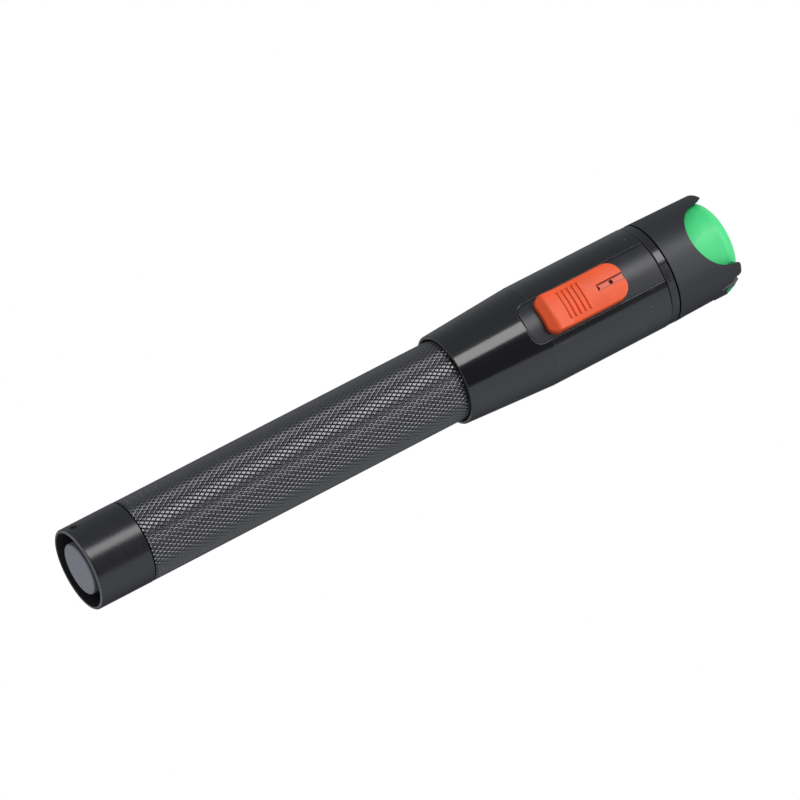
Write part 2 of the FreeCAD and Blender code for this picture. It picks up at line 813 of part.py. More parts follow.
def make_switch_case():
    """Body of the board-mounted slide switch, hollow and slotted for its lever."""
    body = new_body("slide_switch_case")
    half = cell("case_width") * HALF
    half_length = cell("case_length") * HALF
    wall = cell("case_wall")
    block = new_sketch(body, "case_outline", "XZ_Plane", lift=BOARD_FACE)
    draw_box(block, -half, half, -half_length, half_length)
    pad(body, "case_block", block, cell("case_height"))
    hollow = new_sketch(body, "case_hollow_outline", "XZ_Plane", lift=BOARD_FACE)
    draw_box(hollow, -half + wall, half - wall, -half_length + wall, half_length - wall)
    pocket(body, "case_hollow", hollow, cell("case_height") - wall, reverse=True)
    slot = new_sketch(body, "lever_slot_outline", "XZ_Plane", lift=BOARD_FACE)
    slot_half = cell("lever_width") * HALF + cell("lever_clearance")
    slot_length = (cell("lever_length") + cell("knob_travel")) * HALF + cell("lever_clearance")
    draw_box(slot, -slot_half, slot_half, -slot_length, slot_length)
    pocket(body, "lever_slot", slot, reverse=True)
    place(body, SWITCH_MIDDLE)
    return body


def make_switch_lever():
    """Lever of the slide switch: a foot inside the case and a stem up to the knob."""
    body = new_body("slide_switch_lever")
    foot = BOARD_FACE + cell("lever_clearance")
    foot_half = cell("lever_base_width") * HALF
    foot_length = cell("lever_base_length") * HALF
    base = new_sketch(body, "foot_outline", "XZ_Plane", lift=foot)
    draw_box(base, -foot_half, foot_half, -foot_length, foot_length)
    pad(body, "foot", base, cell("lever_base_height"))
    stem = new_sketch(body, "lever_outline", "XZ_Plane", lift=foot)
    half = cell("lever_width") * HALF
    half_length = cell("lever_length") * HALF
    draw_box(stem, -half, half, -half_length, half_length)
    pad(body, "lever", stem, STEM_FOOT + cell("lever_height") - foot - cell("fit_clearance"))
    place(body, STEM_MIDDLE)
    return body


# ---------------------------------------------------------------- driver board and carrier


def make_driver_board():
    body = new_body("driver_board")
    half = cell("board_width") * HALF
    length = BOARD_FRONT - BOARD_REAR
    inset = cell("screw_inset")
    outline = new_sketch(body, "board_outline", "XZ_Plane", lift=cell("board_height"))
    draw_box(outline, -half, half, ZERO, length)
    hole = cell("screw_radius") + cell("face_gap")
    draw_circle(outline, hole, half - inset, inset)
    draw_circle(outline, hole, inset - half, length - inset)
    pad(body, "board", outline, cell("board_thickness"))
    place(body, BOARD_REAR)
    return body


def make_board_block(label, width, length, height, x, z):
    """A plain moulded component lying on the driver board."""
    body = new_body(label)
    outline = new_sketch(body, label + "_outline", "XZ_Plane", lift=BOARD_FACE)
    draw_box(outline, x, x + width, ZERO, length)
    pad(body, label + "_block", outline, height)
    place(body, z)
    return body


def make_carrier_screws():
    """Two pan-head screws through the board's corners, as one group."""
    inset = cell("screw_inset")
    side = cell("board_width") * HALF - inset
    places = [(side, BOARD_REAR + inset), (-side, BOARD_FRONT - inset)]
    screws = []
    for number, (x, z) in enumerate(places, start=1):
        shank = doc.addObject("Part::Cylinder", f"screw_shank_{number}")
        bind(shank, Radius=cell("screw_radius") - cell("fit_clearance"), Height=cell("screw_length"))
        head = doc.addObject("Part::Cylinder", f"screw_head_{number}")
        bind(head, Radius=cell("screw_head_radius"), Height=cell("screw_head_height"))
        head.setExpression("Placement.Base.z", (-cell("screw_head_height")).text)
        screw = doc.addObject("Part::Fuse", f"screw_{number}")
        screw.Base = head
        screw.Tool = shank
        turn = FreeCAD.Rotation(FreeCAD.Vector(1, 0, 0), -90)
        screw.Placement = FreeCAD.Placement(FreeCAD.Vector(x.value, -BOARD_FACE.value, z.value), turn)
        bind(screw, **{"Placement.Base.x": x, "Placement.Base.y": -BOARD_FACE, "Placement.Base.z": z})
        screws.append(screw)
    group = doc.addObject("Part::Compound", "carrier_screws")
    group.Label = "carrier_screws"
    group.Links = screws
    return group


def make_inner_carrier():
    """D-section moulding that holds the board and the laser barrel on the axis."""
    body = new_body("inner_carrier")
    radius = cell("head_cavity_radius") - cell("carrier_clearance")
    nose = CARRIER_REAR - CARRIER_NOSE
    length = CARRIER_FRONT - CARRIER_REAR
    bore = cell("laser_radius") + cell("fit_clearance")
    revolve(body, "carrier_turning", [
        (ZERO, -nose), (cell("tube_bore") - cell("carrier_clearance"), -nose),
        (cell("tube_bore") - cell("carrier_clearance"), ZERO), (radius, ZERO),
        (radius, length), (ZERO, length),
    ])
    flat = new_sketch(body, "board_flat_outline", "XZ_Plane", lift=cell("board_height"))
    draw_box(flat, -radius - MARGIN, radius + MARGIN, cell("board_offset") * HALF, length + MARGIN)
    pocket(body, "board_flat", flat, reverse=True)
    seat = new_sketch(body, "laser_bore_outline", "XY_Plane", lift=length)
    draw_circle(seat, bore)
    pocket(body, "laser_bore", seat, CARRIER_FRONT - LASER_REAR + cell("laser_wire_room"))
    contact = new_sketch(body, "contact_hole_outline", "XY_Plane", lift=-nose)
    draw_circle(contact, cell("contact_shank_radius") + cell("fit_clearance"))
    depth = cell("contact_head_height") + cell("contact_shank_length") + CELLS_FRONT - CARRIER_NOSE
    pocket(body, "contact_hole", contact, depth + cell("face_gap"), reverse=True)
    holes = new_sketch(body, "screw_hole_outline", "XZ_Plane", lift=cell("board_height"))
    inset = cell("screw_inset")
    side = cell("board_width") * HALF - inset
    rear = cell("board_offset")
    draw_circle(holes, cell("screw_radius"), side, rear + inset)
    draw_circle(holes, cell("screw_radius"), -side, BOARD_FRONT - CARRIER_REAR - inset)
    pocket(body, "screw_holes", holes, cell("screw_length"))
    place(body, CARRIER_REAR)
    return body


# ---------------------------------------------------------------- laser module


def make_laser_barrel():
    body = new_body("laser_barrel")
    length = cell("laser_length")
    diode = cell("diode_flange_radius") + cell("fit_clearance")
    diode_depth = cell("diode_flange_height") + cell("face_gap")
    lens = cell("lens_radius") + cell("fit_clearance")
    lens_rear = length - cell("lens_seat_depth")
    revolve(body, "barrel_turning", [
        (diode, ZERO), (cell("laser_radius"), ZERO), (cell("laser_radius"), length), (lens, length),
        (lens, lens_rear), (cell("aperture_radius"), lens_rear), (cell("aperture_radius"), diode_depth),
        (diode, diode_depth),
    ])
    place(body, LASER_REAR)
    return body


def make_laser_diode():
    """Can-type diode: flange, cap and three pins."""
    body = new_body("laser_diode")
    flange = cell("diode_flange_radius")
    thick = cell("diode_flange_height")
    can = cell("diode_can_radius")
    revolve(body, "diode_turning", [
        (ZERO, ZERO), (flange, ZERO), (flange, thick), (can, thick),
        (can, thick + cell("diode_can_height")), (ZERO, thick + cell("diode_can_height")),
    ])
    pins = new_sketch(body, "pin_outline", "XY_Plane")
    circle = cell("diode_pin_circle")
    for u, v in ((circle, ZERO), (-circle, ZERO), (ZERO, circle)):
        draw_circle(pins, cell("diode_pin_radius"), u, v)
    pad(body, "diode_pins", pins, cell("diode_pin_length"), reverse=True)
    place(body, LASER_REAR + cell("face_gap"))
    return body


def make_collimator_lens():
    """Plano-convex glass lens: a disc cut from a ball."""
    disc = doc.addObject("Part::Cylinder", "lens_disc")
    bind(disc, Radius=cell("lens_radius"), Height=cell("lens_thickness"))
    ball = doc.addObject("Part::Sphere", "lens_ball")
    bind(ball, Radius=cell("lens_sphere"))
    ball.setExpression("Placement.Base.z", (cell("lens_thickness") - cell("lens_sphere")).text)
    lens = doc.addObject("Part::Common", "collimator_lens")
    lens.Label = "collimator_lens"
    lens.Base = disc
    lens.Tool = ball
    place(lens, LASER_FRONT - cell("lens_seat_depth"))
    return lens


def make_lens_retainer():
    """Slotted ring screwed in over the lens."""
    body = new_body("lens_retainer")
    outer = cell("lens_radius")
    length = cell("retainer_length")
    ring = new_sketch(body, "retainer_outline", "XY_Plane")
    draw_circle(ring, outer)
    draw_circle(ring, cell("retainer_bore"))
    pad(body, "retainer_ring", ring, length)
    slot = new_sketch(body, "key_slot_outline", "XZ_Plane")
    half = cell("retainer_slot") * HALF
    draw_box(slot, -half, half, length - cell("retainer_slot"), length + MARGIN)
    pocket(body, "key_slots", slot, both=True)
    place(body, LASER_FRONT - cell("lens_seat_depth") + cell("lens_thickness") + cell("face_gap"))
    return body


# ---------------------------------------------------------------- collar ring and crown


def make_collar_ring():
    body = new_body("collar_ring")
    outer = cell("ring_radius")
    width = cell("ring_width")
    ring = new_sketch(body, "ring_outline", "XY_Plane")
    draw_circle(ring, outer)
    draw_circle(ring, cell("head_cavity_radius"))
    pad(body, "ring", ring, width)
    chamfer(
        body, "ring_bevel",
        lambda edge: is_ring(edge, outer, 0.0) or is_ring(edge, outer, width),
        cell("ring_chamfer"),
    )
    place(body, RING_REAR)
    return body


def draw_scallop(sketch, radius, drop, tip):
    """Round finger cut-out at the rim, with its two corners rolled over into the rim.

    The main arc's centre lies drop below the rim; each corner arc touches both it and the rim.
    """
    corner = cell("horn_round")
    reach = radius + corner
    fall = corner - drop
    side = root(reach * reach - fall * fall)
    share = radius.value / reach.value
    top = tip + MARGIN
    low_u = side.value * share
    centre_z = tip.value - drop.value
    low_v = centre_z - fall.value * share
    normal = FreeCAD.Vector(0, 0, 1)
    main = Part.Circle(FreeCAD.Vector(0, centre_z, 0), normal, radius.value)
    swing = math.atan2(low_v - centre_z, low_u)
    arcs = [Part.ArcOfCircle(main, -math.pi - swing, swing)]
    for sign in (1, -1):
        corner_circle = Part.Circle(
            FreeCAD.Vector(sign * side.value, tip.value - corner.value, 0), normal, corner.value
        )
        start = math.pi / 2 if sign > 0 else swing
        end = math.pi + swing if sign > 0 else math.pi / 2
        arcs.append(Part.ArcOfCircle(corner_circle, start, end))
    for arc in arcs:
        sketch.addGeometry(arc, False)
    corners = [(side, tip), (side, top), (-side, top), (-side, tip)]
    for (u0, v0), (u1, v1) in zip(corners, corners[1:]):
        start = FreeCAD.Vector(u0.value, v0.value, 0)
        sketch.addGeometry(Part.LineSegment(start, FreeCAD.Vector(u1.value, v1.value, 0)), False)
    sketch.addConstraint(Sketcher.Constraint("Tangent", 0, 2, 1, 2))
    sketch.addConstraint(Sketcher.Constraint("Tangent", 0, 1, 2, 1))
    joins = [(1, 1, 3, 1), (3, 2, 4, 1), (4, 2, 5, 1), (5, 2, 2, 2)]
    for first, first_end, second, second_end in joins:
        sketch.addConstraint(Sketcher.Constraint("Coincident", first, first_end, second, second_end))
    sketch.addConstraint(Sketcher.Constraint("Vertical", 1, 1, 1, 3))
    sketch.addConstraint(Sketcher.Constraint("Vertical", 2, 2, 2, 3))
    sketch.addConstraint(Sketcher.Constraint("Vertical", 3))
    sketch.addConstraint(Sketcher.Constraint("Vertical", 5))
    sketch.addConstraint(Sketcher.Constraint("Horizontal", 4))
    for arc in range(3):
        tie(sketch, "Radius", arc, corner if arc else radius)
    tie_point(sketch, 0, 3, ZERO, tip - drop)
    tie(sketch, "DistanceY", -1, 1, 1, 3, tip - corner)
    tie(sketch, "DistanceY", -1, 1, 2, 3, tip - corner)
    tie(sketch, "DistanceY", -1, 1, 4, 1, top)


def make_crown():
    """Front cup with two finger scallops, a hinge notch and a floor that carries the port."""
    body = new_body("crown_bezel")
    tip = cell("crown_length")
    cup = cell("cup_radius")
    spigot = cell("head_cavity_radius") - cell("fit_clearance")
    bore = spigot - cell("crown_spigot_wall")
    floor_rear = cell("crown_floor_height")
    floor_front = floor_rear + cell("crown_floor_thickness")
    length = cell("crown_spigot_length") + cell("ring_width") + cell("groove_width") * 2
    ledge = cell("ledge_height")
    revolve(body, "crown_turning", [
        (spigot, -length), (spigot, ZERO), (cell("crown_base_radius"), ZERO), (cell("crown_tip_radius"), tip),
        (cup, tip), (cup, ledge), (cell("ledge_radius"), ledge), (cell("ledge_radius"), floor_front),
        (cell("port_hole_radius"), floor_front), (cell("port_hole_radius"), floor_rear),
        (bore, floor_rear), (bore, -length),
    ])
    fillet(body, "lip_round", lambda edge: is_ring(edge, cell("crown_tip_radius"), tip), cell("crown_lip_round"))
    scallops = new_sketch(body, "scallop_outline", "XZ_Plane")
    draw_scallop(scallops, cell("scallop_radius"), cell("scallop_drop"), tip)
    pocket(body, "scallops", scallops, both=True)
    notch = new_sketch(body, "notch_outline", "YZ_Plane")
    draw_scallop(notch, cell("notch_radius"), cell("notch_drop"), tip)
    pocket(body, "hinge_notch", notch, reverse=True)
    slot = new_sketch(body, "bracket_slot_outline", "YZ_Plane")
    half = cell("bracket_half_width") + cell("bracket_seam")
    draw_box(slot, -half, half, cell("bracket_base") - cell("bracket_seam"), tip)
    pocket(body, "bracket_slot", slot, reverse=True)
    place(body, CROWN_REAR)
    return body


# ---------------------------------------------------------------- fibre port


def make_port_body():
    """Turned port: nose in the cup, flange on the crown's floor, thread behind it."""
    body = new_body("port_body")
    thread = PORT_THREAD
    flange = cell("port_flange_radius")
    nose = cell("port_nose_radius")
    sleeve = cell("sleeve_radius") + cell("sleeve_clearance")
    window = cell("port_window_radius")
    flange_front = cell("port_flange_height")
    front = flange_front + cell("port_nose_length")
    rear = -cell("port_tail_length")
    revolve(body, "port_turning", [
        (window, rear), (thread, rear), (thread, ZERO), (flange, ZERO), (flange, flange_front),
        (nose, flange_front), (nose, front), (sleeve, front), (sleeve, rear + cell("port_stop_length")),
        (window, rear + cell("port_stop_length")),
    ])
    chamfer(body, "nose_lead", lambda edge: is_ring(edge, nose, front), cell("port_lip"))
    place(body, CROWN_FLOOR)
    return body


def make_ferrule_sleeve():
    """Ceramic sleeve that lines up a 2.5 mm ferrule."""
    body = new_body("ferrule_sleeve")
    outline = new_sketch(body, "sleeve_outline", "XY_Plane")
    draw_circle(outline, cell("sleeve_radius"))
    draw_circle(outline, cell("ferrule_radius"))
    length = PORT_FRONT - PORT_REAR - cell("port_stop_length") - cell("port_lip")
    pad(body, "sleeve", outline, length)
    place(body, PORT_REAR + cell("port_stop_length"))
    return body


def make_port_nut():
    """Hexagon nut that clamps the port to the crown's floor from behind."""
    nut = doc.addObject("Part::Prism", "nut_blank")
    nut.Polygon = 6
    bind(nut, Circumradius=cell("port_nut_flats") / root(Size.of(3)), Height=cell("port_nut_height"))
    hole = doc.addObject("Part::Cylinder", "nut_hole")
    bind(hole, Radius=cell("port_hole_radius"), Height=cell("port_nut_height"))
    ring = doc.addObject("Part::Cut", "port_nut")
    ring.Label = "port_nut"
    ring.Base = nut
    ring.Tool = hole
    place(ring, CROWN_REAR + cell("crown_floor_height") - cell("port_nut_height"))
    return ring


# ---------------------------------------------------------------- dust cap and hinge


def make_dust_cap():
    """Domed dish that turns out of the crown about its pin.

    Its far lower side is relieved to the arc it swings through, and its near side
    is scooped clear of the crown's horns, round the knuckle.
    """
    body = new_body("dust_cap")
    radius = CAP_RADIUS
    crown = cell("cap_crown_round")
    top = cell("cap_top_above_pin")
    skirt = CAP_SKIRT - PIN_HEIGHT
    cavity = cell("cap_cavity_radius")
    roof = top - cell("cap_top_thickness")
    revolve(body, "dish", [
        (cavity, skirt), (radius, skirt), (radius, top), (ZERO, top), (ZERO, roof), (cavity, roof),
    ])
    fillet(body, "dome", lambda edge: is_ring(edge, radius, top), crown)
    add_heel(body, skirt, roof)
    add_swing_relief(body, radius)
    scoop = new_sketch(body, "scoop_outline", "XZ_Plane")
    draw_circle(scoop, cell("cap_relief_radius"), PIN_X, ZERO)
    pocket(body, "horn_scoop", scoop, both=True)
    ears = new_sketch(body, "ear_slot_outline", "YZ_Plane", lift=PIN_X - cell("knuckle_radius") - cell("ear_gap"))
    ear_half = cell("bracket_half_width") + cell("ear_gap")
    draw_box(ears, -ear_half, ear_half, skirt - MARGIN, top + MARGIN)
    pocket(body, "ear_slot", ears, reverse=True)
    add_knuckle(body, roof, top)
    place(body, PIN_HEIGHT)
    return body


def add_heel(body, skirt, roof):
    """Thicken the skirt beside the hinge, between the cavity and the scoop."""
    heel = new_sketch(body, "heel_outline", "XY_Plane", lift=skirt)
    half = cell("cap_heel_half_width")
    draw_box(heel, cell("cap_heel_x"), cell("cap_cavity_radius"), -half, half)
    pad(body, "heel", heel, roof - skirt + cell("face_gap"))


def add_swing_relief(body, radius):
    """Cut the skirt back to the surface that the cap's pin-level circle sweeps as it turns."""
    sketch = new_sketch(body, "swing_outline", "XY_Plane", across=PIN_X)
    swept = radius + cell("cap_swing_gap")
    far = -radius - MARGIN * 2 - PIN_X
    side = swept + MARGIN
    centre = FreeCAD.Vector(-PIN_X.value, 0, 0)
    circle = Part.Circle(centre, FreeCAD.Vector(0, 0, 1), swept.value)
    arc = sketch.addGeometry(Part.ArcOfCircle(circle, math.pi / 2, math.pi * 1.5), False)
    corners = [(-PIN_X, -swept), (-PIN_X, -side), (far, -side), (far, side), (-PIN_X, side), (-PIN_X, swept)]
    for (u0, v0), (u1, v1) in zip(corners, corners[1:]):
        start = FreeCAD.Vector(u0.value, v0.value, 0)
        sketch.addGeometry(Part.LineSegment(start, FreeCAD.Vector(u1.value, v1.value, 0)), False)
    last = arc + len(corners) - 1
    sketch.addConstraint(Sketcher.Constraint("Coincident", arc, 2, arc + 1, 1))
    sketch.addConstraint(Sketcher.Constraint("Coincident", last, 2, arc, 1))
    for index in range(arc + 1, last):
        sketch.addConstraint(Sketcher.Constraint("Coincident", index, 2, index + 1, 1))
    tie_point(sketch, arc, 3, -PIN_X, ZERO)
    for index, (u, v) in enumerate(corners[:-1]):
        tie_point(sketch, arc + 1 + index, 1, u, v)
    tie(sketch, "DistanceX", -1, 1, last, 2, -PIN_X)
    relief = feature(body, "PartDesign::Groove", "swing_relief", sketch, Angle=cell("cap_relief_angle"), Midplane=False)
    relief.ReferenceAxis = (sketch, ["V_Axis"])
    relief.Reversed = True


def add_knuckle(body, roof, top):
    """Hinge barrel round the pin, with the arm that joins it to the cap's roof."""
    half = cell("knuckle_half_width")
    knuckle = cell("knuckle_radius")
    barrel = new_sketch(body, "knuckle_outline", "XZ_Plane")
    draw_circle(barrel, knuckle, PIN_X, ZERO)
    pad(body, "knuckle", barrel, half * 2, both=True)
    arm = new_sketch(body, "arm_outline", "XZ_Plane")
    root_x = cell("cap_heel_x") + cell("knuckle_radius")
    draw_loop(arm, [
        (PIN_X, knuckle * HALF), (PIN_X - knuckle * HALF, knuckle * HALF + cell("cap_top_thickness") * HALF),
        (root_x, top - cell("cap_top_thickness") * HALF * HALF), (root_x, roof - knuckle),
        (PIN_X - knuckle * HALF, -knuckle * HALF),
    ])
    pad(body, "hinge_arm", arm, half * 2, both=True)
    bore = new_sketch(body, "pin_bore_outline", "XZ_Plane")
    draw_circle(bore, cell("pin_radius") + cell("pin_clearance"), PIN_X, ZERO)
    pocket(body, "pin_bore", bore, both=True)


def make_hinge_pin():
    pin = doc.addObject("Part::Cylinder", "cap_hinge_pin")
    pin.Label = "cap_hinge_pin"
    bind(pin, Radius=cell("pin_radius"), Height=cell("bracket_half_width") * 2)
    turn = FreeCAD.Rotation(FreeCAD.Vector(1, 0, 0), 90)
    pin.Placement = FreeCAD.Placement(FreeCAD.Vector(0, 0, 0), turn)
    bind(pin, **{
        "Placement.Base.x": PIN_X, "Placement.Base.y": cell("bracket_half_width"), "Placement.Base.z": PIN_HEIGHT,
    })
    return pin


def make_hinge_bracket():
    """Plate let into the crown's wall, with two ears that carry the pin."""
    body = new_body("hinge_bracket")
    half = cell("bracket_half_width")
    base = cell("bracket_base")
    pin_z = PIN_HEIGHT - CROWN_REAR
    ear = cell("knuckle_radius")
    plate_top = pin_z - ear - cell("ear_gap") * 2
    slope = (cell("crown_base_radius") - cell("crown_tip_radius")) / cell("crown_length")
    flush = cell("crown_base_radius") - cell("face_gap") * HALF
    plate = new_sketch(body, "plate_outline", "YZ_Plane")
    draw_box(plate, -half, half, base, plate_top)
    pad(body, "plate_block", plate, cell("crown_base_radius") + MARGIN)
    sky = cell("crown_base_radius") + MARGIN * 2
    revolve(body, "flush_turning", [
        (flush - slope * (base - MARGIN), base - MARGIN), (sky, base - MARGIN),
        (sky, plate_top + MARGIN), (flush - slope * (plate_top + MARGIN), plate_top + MARGIN),
    ], cut=True)
    hollow = new_sketch(body, "cup_outline", "XY_Plane")
    draw_circle(hollow, cell("cup_radius"))
    pocket(body, "cup_clearance", hollow, reverse=True)
    ears = new_sketch(body, "ear_outline", "XZ_Plane")
    draw_loop(ears, [
        (cell("cup_radius"), plate_top - cell("bracket_base")), (PIN_X + ear, plate_top - cell("bracket_base")),
        (PIN_X + ear, pin_z), (PIN_X + ear * HALF, pin_z + ear), (PIN_X - ear * HALF, pin_z + ear),
        (PIN_X - ear, pin_z), (PIN_X - ear, plate_top), (cell("cup_radius"), plate_top),
    ])
    pad(body, "ear_block", ears, half * 2, both=True)
    gap = new_sketch(body, "knuckle_gap_outline", "YZ_Plane")
    gap_half = half - cell("ear_thickness")
    draw_box(gap, -gap_half, gap_half, plate_top, pin_z + ear + MARGIN)
    pocket(body, "knuckle_gap", gap, reverse=True)
    bore = new_sketch(body, "pin_bore_outline", "XZ_Plane")
    draw_circle(bore, cell("pin_radius"), PIN_X, pin_z)
    pocket(body, "pin_bore", bore, both=True)
    place(body, CROWN_REAR)
    return body


# ---------------------------------------------------------------- assembly and output


def make_all():
    chip_z = BOARD_REAR + cell("chip_margin")
    chip_x = -cell("board_width") * HALF + cell("chip_margin")
    trimmer_x = cell("board_width") * HALF - cell("chip_margin") * HALF - cell("trimmer_side")
    trimmer_z = SWITCH_MIDDLE + cell("chip_margin")
    seal_tail = cell("tail_length") + cell("seal_groove_offset")
    seal_head = SHOULDER + cell("seal_groove_offset")
    return [
        make_tail_cap(),
        make_tail_magnet(),
        make_tail_spring(),
        make_seal("tail_seal", SPIGOT_RADIUS, cell("thread_radius"), seal_tail),
        make_battery_tube(),
        make_seal("head_seal", cell("neck_radius"), cell("neck_radius") + cell("fit_clearance"), seal_head),
        make_cell("rear_cell", CELLS_REAR),
        make_cell("front_cell", CELLS_REAR + cell("cell_length")),
        make_front_contact(),
        make_contact_insulator(),
        make_head_housing(),
        make_switch_bezel(),
        make_switch_knob(),
        make_switch_case(),
        make_switch_lever(),
        make_driver_board(),
        make_board_block(
            "driver_chip", cell("chip_width"), cell("chip_length"), cell("chip_height"), chip_x, chip_z
        ),
        make_board_block(
            "power_trimmer", cell("trimmer_side"), cell("trimmer_side"), cell("trimmer_height"),
            trimmer_x, trimmer_z,
        ),
        make_carrier_screws(),
        make_inner_carrier(),
        make_laser_barrel(),
        make_laser_diode(),
        make_collimator_lens(),
        make_lens_retainer(),
        make_collar_ring(),
        make_crown(),
        make_port_body(),
        make_ferrule_sleeve(),
        make_port_nut(),
        make_dust_cap(),
        make_hinge_pin(),
        make_hinge_bracket(),
    ]


def check_document():
    for thing in doc.Objects:
        if "Invalid" in thing.State or "Error" in thing.State:
            raise ValueError(f"{thing.Name} failed: {thing.State}")


def write_parts(subparts):
    os.makedirs("parts", exist_ok=True)
    for thing in subparts:
        if thing.Shape.isNull() or not thing.Shape.isValid():
            raise ValueError(f"{thing.Label} has no valid shape")
        thing.Shape.exportStep(f"parts/{thing.Label}.step")
        print(f"{thing.Label}: {len(thing.Shape.Solids)} solid(s), {thing.Shape.Volume:.1f} mm3")


subparts = make_all()
doc.recompute()
check_document()
write_parts(subparts)
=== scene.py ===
import math

import bmesh
import bpy
from mathutils import Matrix, Vector


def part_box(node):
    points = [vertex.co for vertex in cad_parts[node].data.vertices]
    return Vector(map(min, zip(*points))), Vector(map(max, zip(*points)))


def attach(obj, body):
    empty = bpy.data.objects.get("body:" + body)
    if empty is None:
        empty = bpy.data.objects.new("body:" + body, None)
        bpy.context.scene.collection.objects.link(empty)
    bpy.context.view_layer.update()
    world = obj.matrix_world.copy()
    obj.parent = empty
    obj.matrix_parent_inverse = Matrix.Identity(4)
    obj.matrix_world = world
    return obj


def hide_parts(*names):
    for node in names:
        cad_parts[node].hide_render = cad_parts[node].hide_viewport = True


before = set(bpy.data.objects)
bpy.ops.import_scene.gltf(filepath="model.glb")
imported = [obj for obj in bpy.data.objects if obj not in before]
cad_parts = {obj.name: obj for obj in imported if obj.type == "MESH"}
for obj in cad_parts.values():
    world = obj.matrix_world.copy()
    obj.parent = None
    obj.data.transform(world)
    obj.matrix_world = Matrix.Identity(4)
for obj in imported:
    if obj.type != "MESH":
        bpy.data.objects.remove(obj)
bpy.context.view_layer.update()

bl_info = {
    "name": "Visual Fault Locator",
    "version": (1, 0, 0),
    "blender": (4, 5, 0),
    "location": "3D View > Sidebar > Fault Locator",
    "description": "Dresses a pen-type visual fault locator: knurled barrel, finishes, lamps and camera",
    "category": "Object",
}

MM = 0.001
MERGE = 2e-6

# the switch window and the taper in the head
WINDOW_HALF = 5.35 * MM
WINDOW_REAR = 19.55 * MM
WINDOW_CORNER = 2.75 * MM
WINDOW_PAST_FRONT = 30 * MM
TAPER_LENGTH = 24.2 * MM
# the thumb ribs and the channel of the knob
RIB_START = 6.5 * MM
RIB_PITCH = 1.4 * MM
LAST_RIB = 4
CHANNEL_LENGTH = 7.8 * MM
CHANNEL_HALF = 0.92 * MM
CHANNEL_DROP = 1.15 * MM
CHANNEL_EDGE = 0.08 * MM
# the tail cap's recess and where its thread begins
THREAD_START = 14.7 * MM
RIM_INNER = 9.0 * MM
RECESS_EDGE = 10.0 * MM
# wear and dirt, with painted shade and painted highlights mixed into some of these colours
WORN_METAL = (0.24, 0.24, 0.25)
# painted shade for the tail cap's recess
RECESS_PAINTED_SHADE = (0.002, 0.002, 0.003)
# light grey for worn coat, also used for painted highlights on the head
COAT_WEAR_AND_HIGHLIGHT = (0.16, 0.16, 0.17)
DUST = (0.22, 0.22, 0.23)
# paler channel floor of the knob: settled dust and painted light
CHANNEL_DUST_AND_LIGHT = (0.62, 0.22, 0.15)
# painted shade for the corners of the knob's channel
CHANNEL_PAINTED_SHADE = (0.20, 0.018, 0.006)


def reach(node):
    """Largest distance of a node's box from the barrel's axis."""
    low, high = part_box(node)
    return max(abs(low.x), abs(high.x), abs(low.y), abs(high.y))


# ---------------------------------------------------------------- settings


class LOCATOR_PG_grip(bpy.types.PropertyGroup):
    """Sizes of the knurled battery tube."""

    starts: bpy.props.IntProperty(name="Starts", description="Diamonds round the grip", default=58, min=12)
    helix: bpy.props.FloatProperty(
        name="Helix angle", description="Angle of the grooves to the barrel's axis",
        default=math.radians(30), subtype="ANGLE",
    )
    depth: bpy.props.FloatProperty(
        name="Groove depth", description="Depth of the knurl's grooves", default=0.24 * MM, unit="LENGTH",
    )
    top_share: bpy.props.FloatProperty(
        name="Flat top", description="Share of each diamond that is flat", default=0.52, min=0.1, max=0.95,
    )
    bevel_share: bpy.props.FloatProperty(
        name="Bevelled top", description="Share of each diamond inside its groove walls",
        default=0.80, min=0.2, max=1,
    )
    bevel_depth: bpy.props.FloatProperty(
        name="Bevel depth", description="Drop of the bevel round each flat",
        default=0.06 * MM, unit="LENGTH",
    )
    crest: bpy.props.FloatProperty(
        name="Crest radius", description="Radius over the diamonds",
        default=reach("battery_tube"), unit="LENGTH",
    )
    rear_bevel: bpy.props.FloatProperty(
        name="End bevel", description="Bevel at the tube's rear end", default=0.3 * MM, unit="LENGTH",
    )
    neck_length: bpy.props.FloatProperty(
        name="Neck length", description="Length of the plain neck in the head",
        default=13.2 * MM, unit="LENGTH",
    )
    neck_radius: bpy.props.FloatProperty(
        name="Neck radius", description="Radius of the plain neck in the head",
        default=9.9 * MM, unit="LENGTH",
    )
    bore: bpy.props.FloatProperty(
        name="Bore", description="Radius of the battery bore", default=7.5 * MM, unit="LENGTH",
    )
    socket: bpy.props.FloatProperty(
        name="Socket radius", description="Radius of the tail cap's threaded socket",
        default=9.0 * MM, unit="LENGTH",
    )
    socket_depth: bpy.props.FloatProperty(
        name="Socket depth", description="Depth of the tail cap's threaded socket",
        default=8.6 * MM, unit="LENGTH",
    )
    segments: bpy.props.IntProperty(
        name="Segments", description="Facets round the plain walls", default=116, min=24,
    )


def colour(name, description, value):
    return bpy.props.FloatVectorProperty(
        name=name, description=description, default=value, size=3, subtype="COLOR", min=0, max=1,
    )


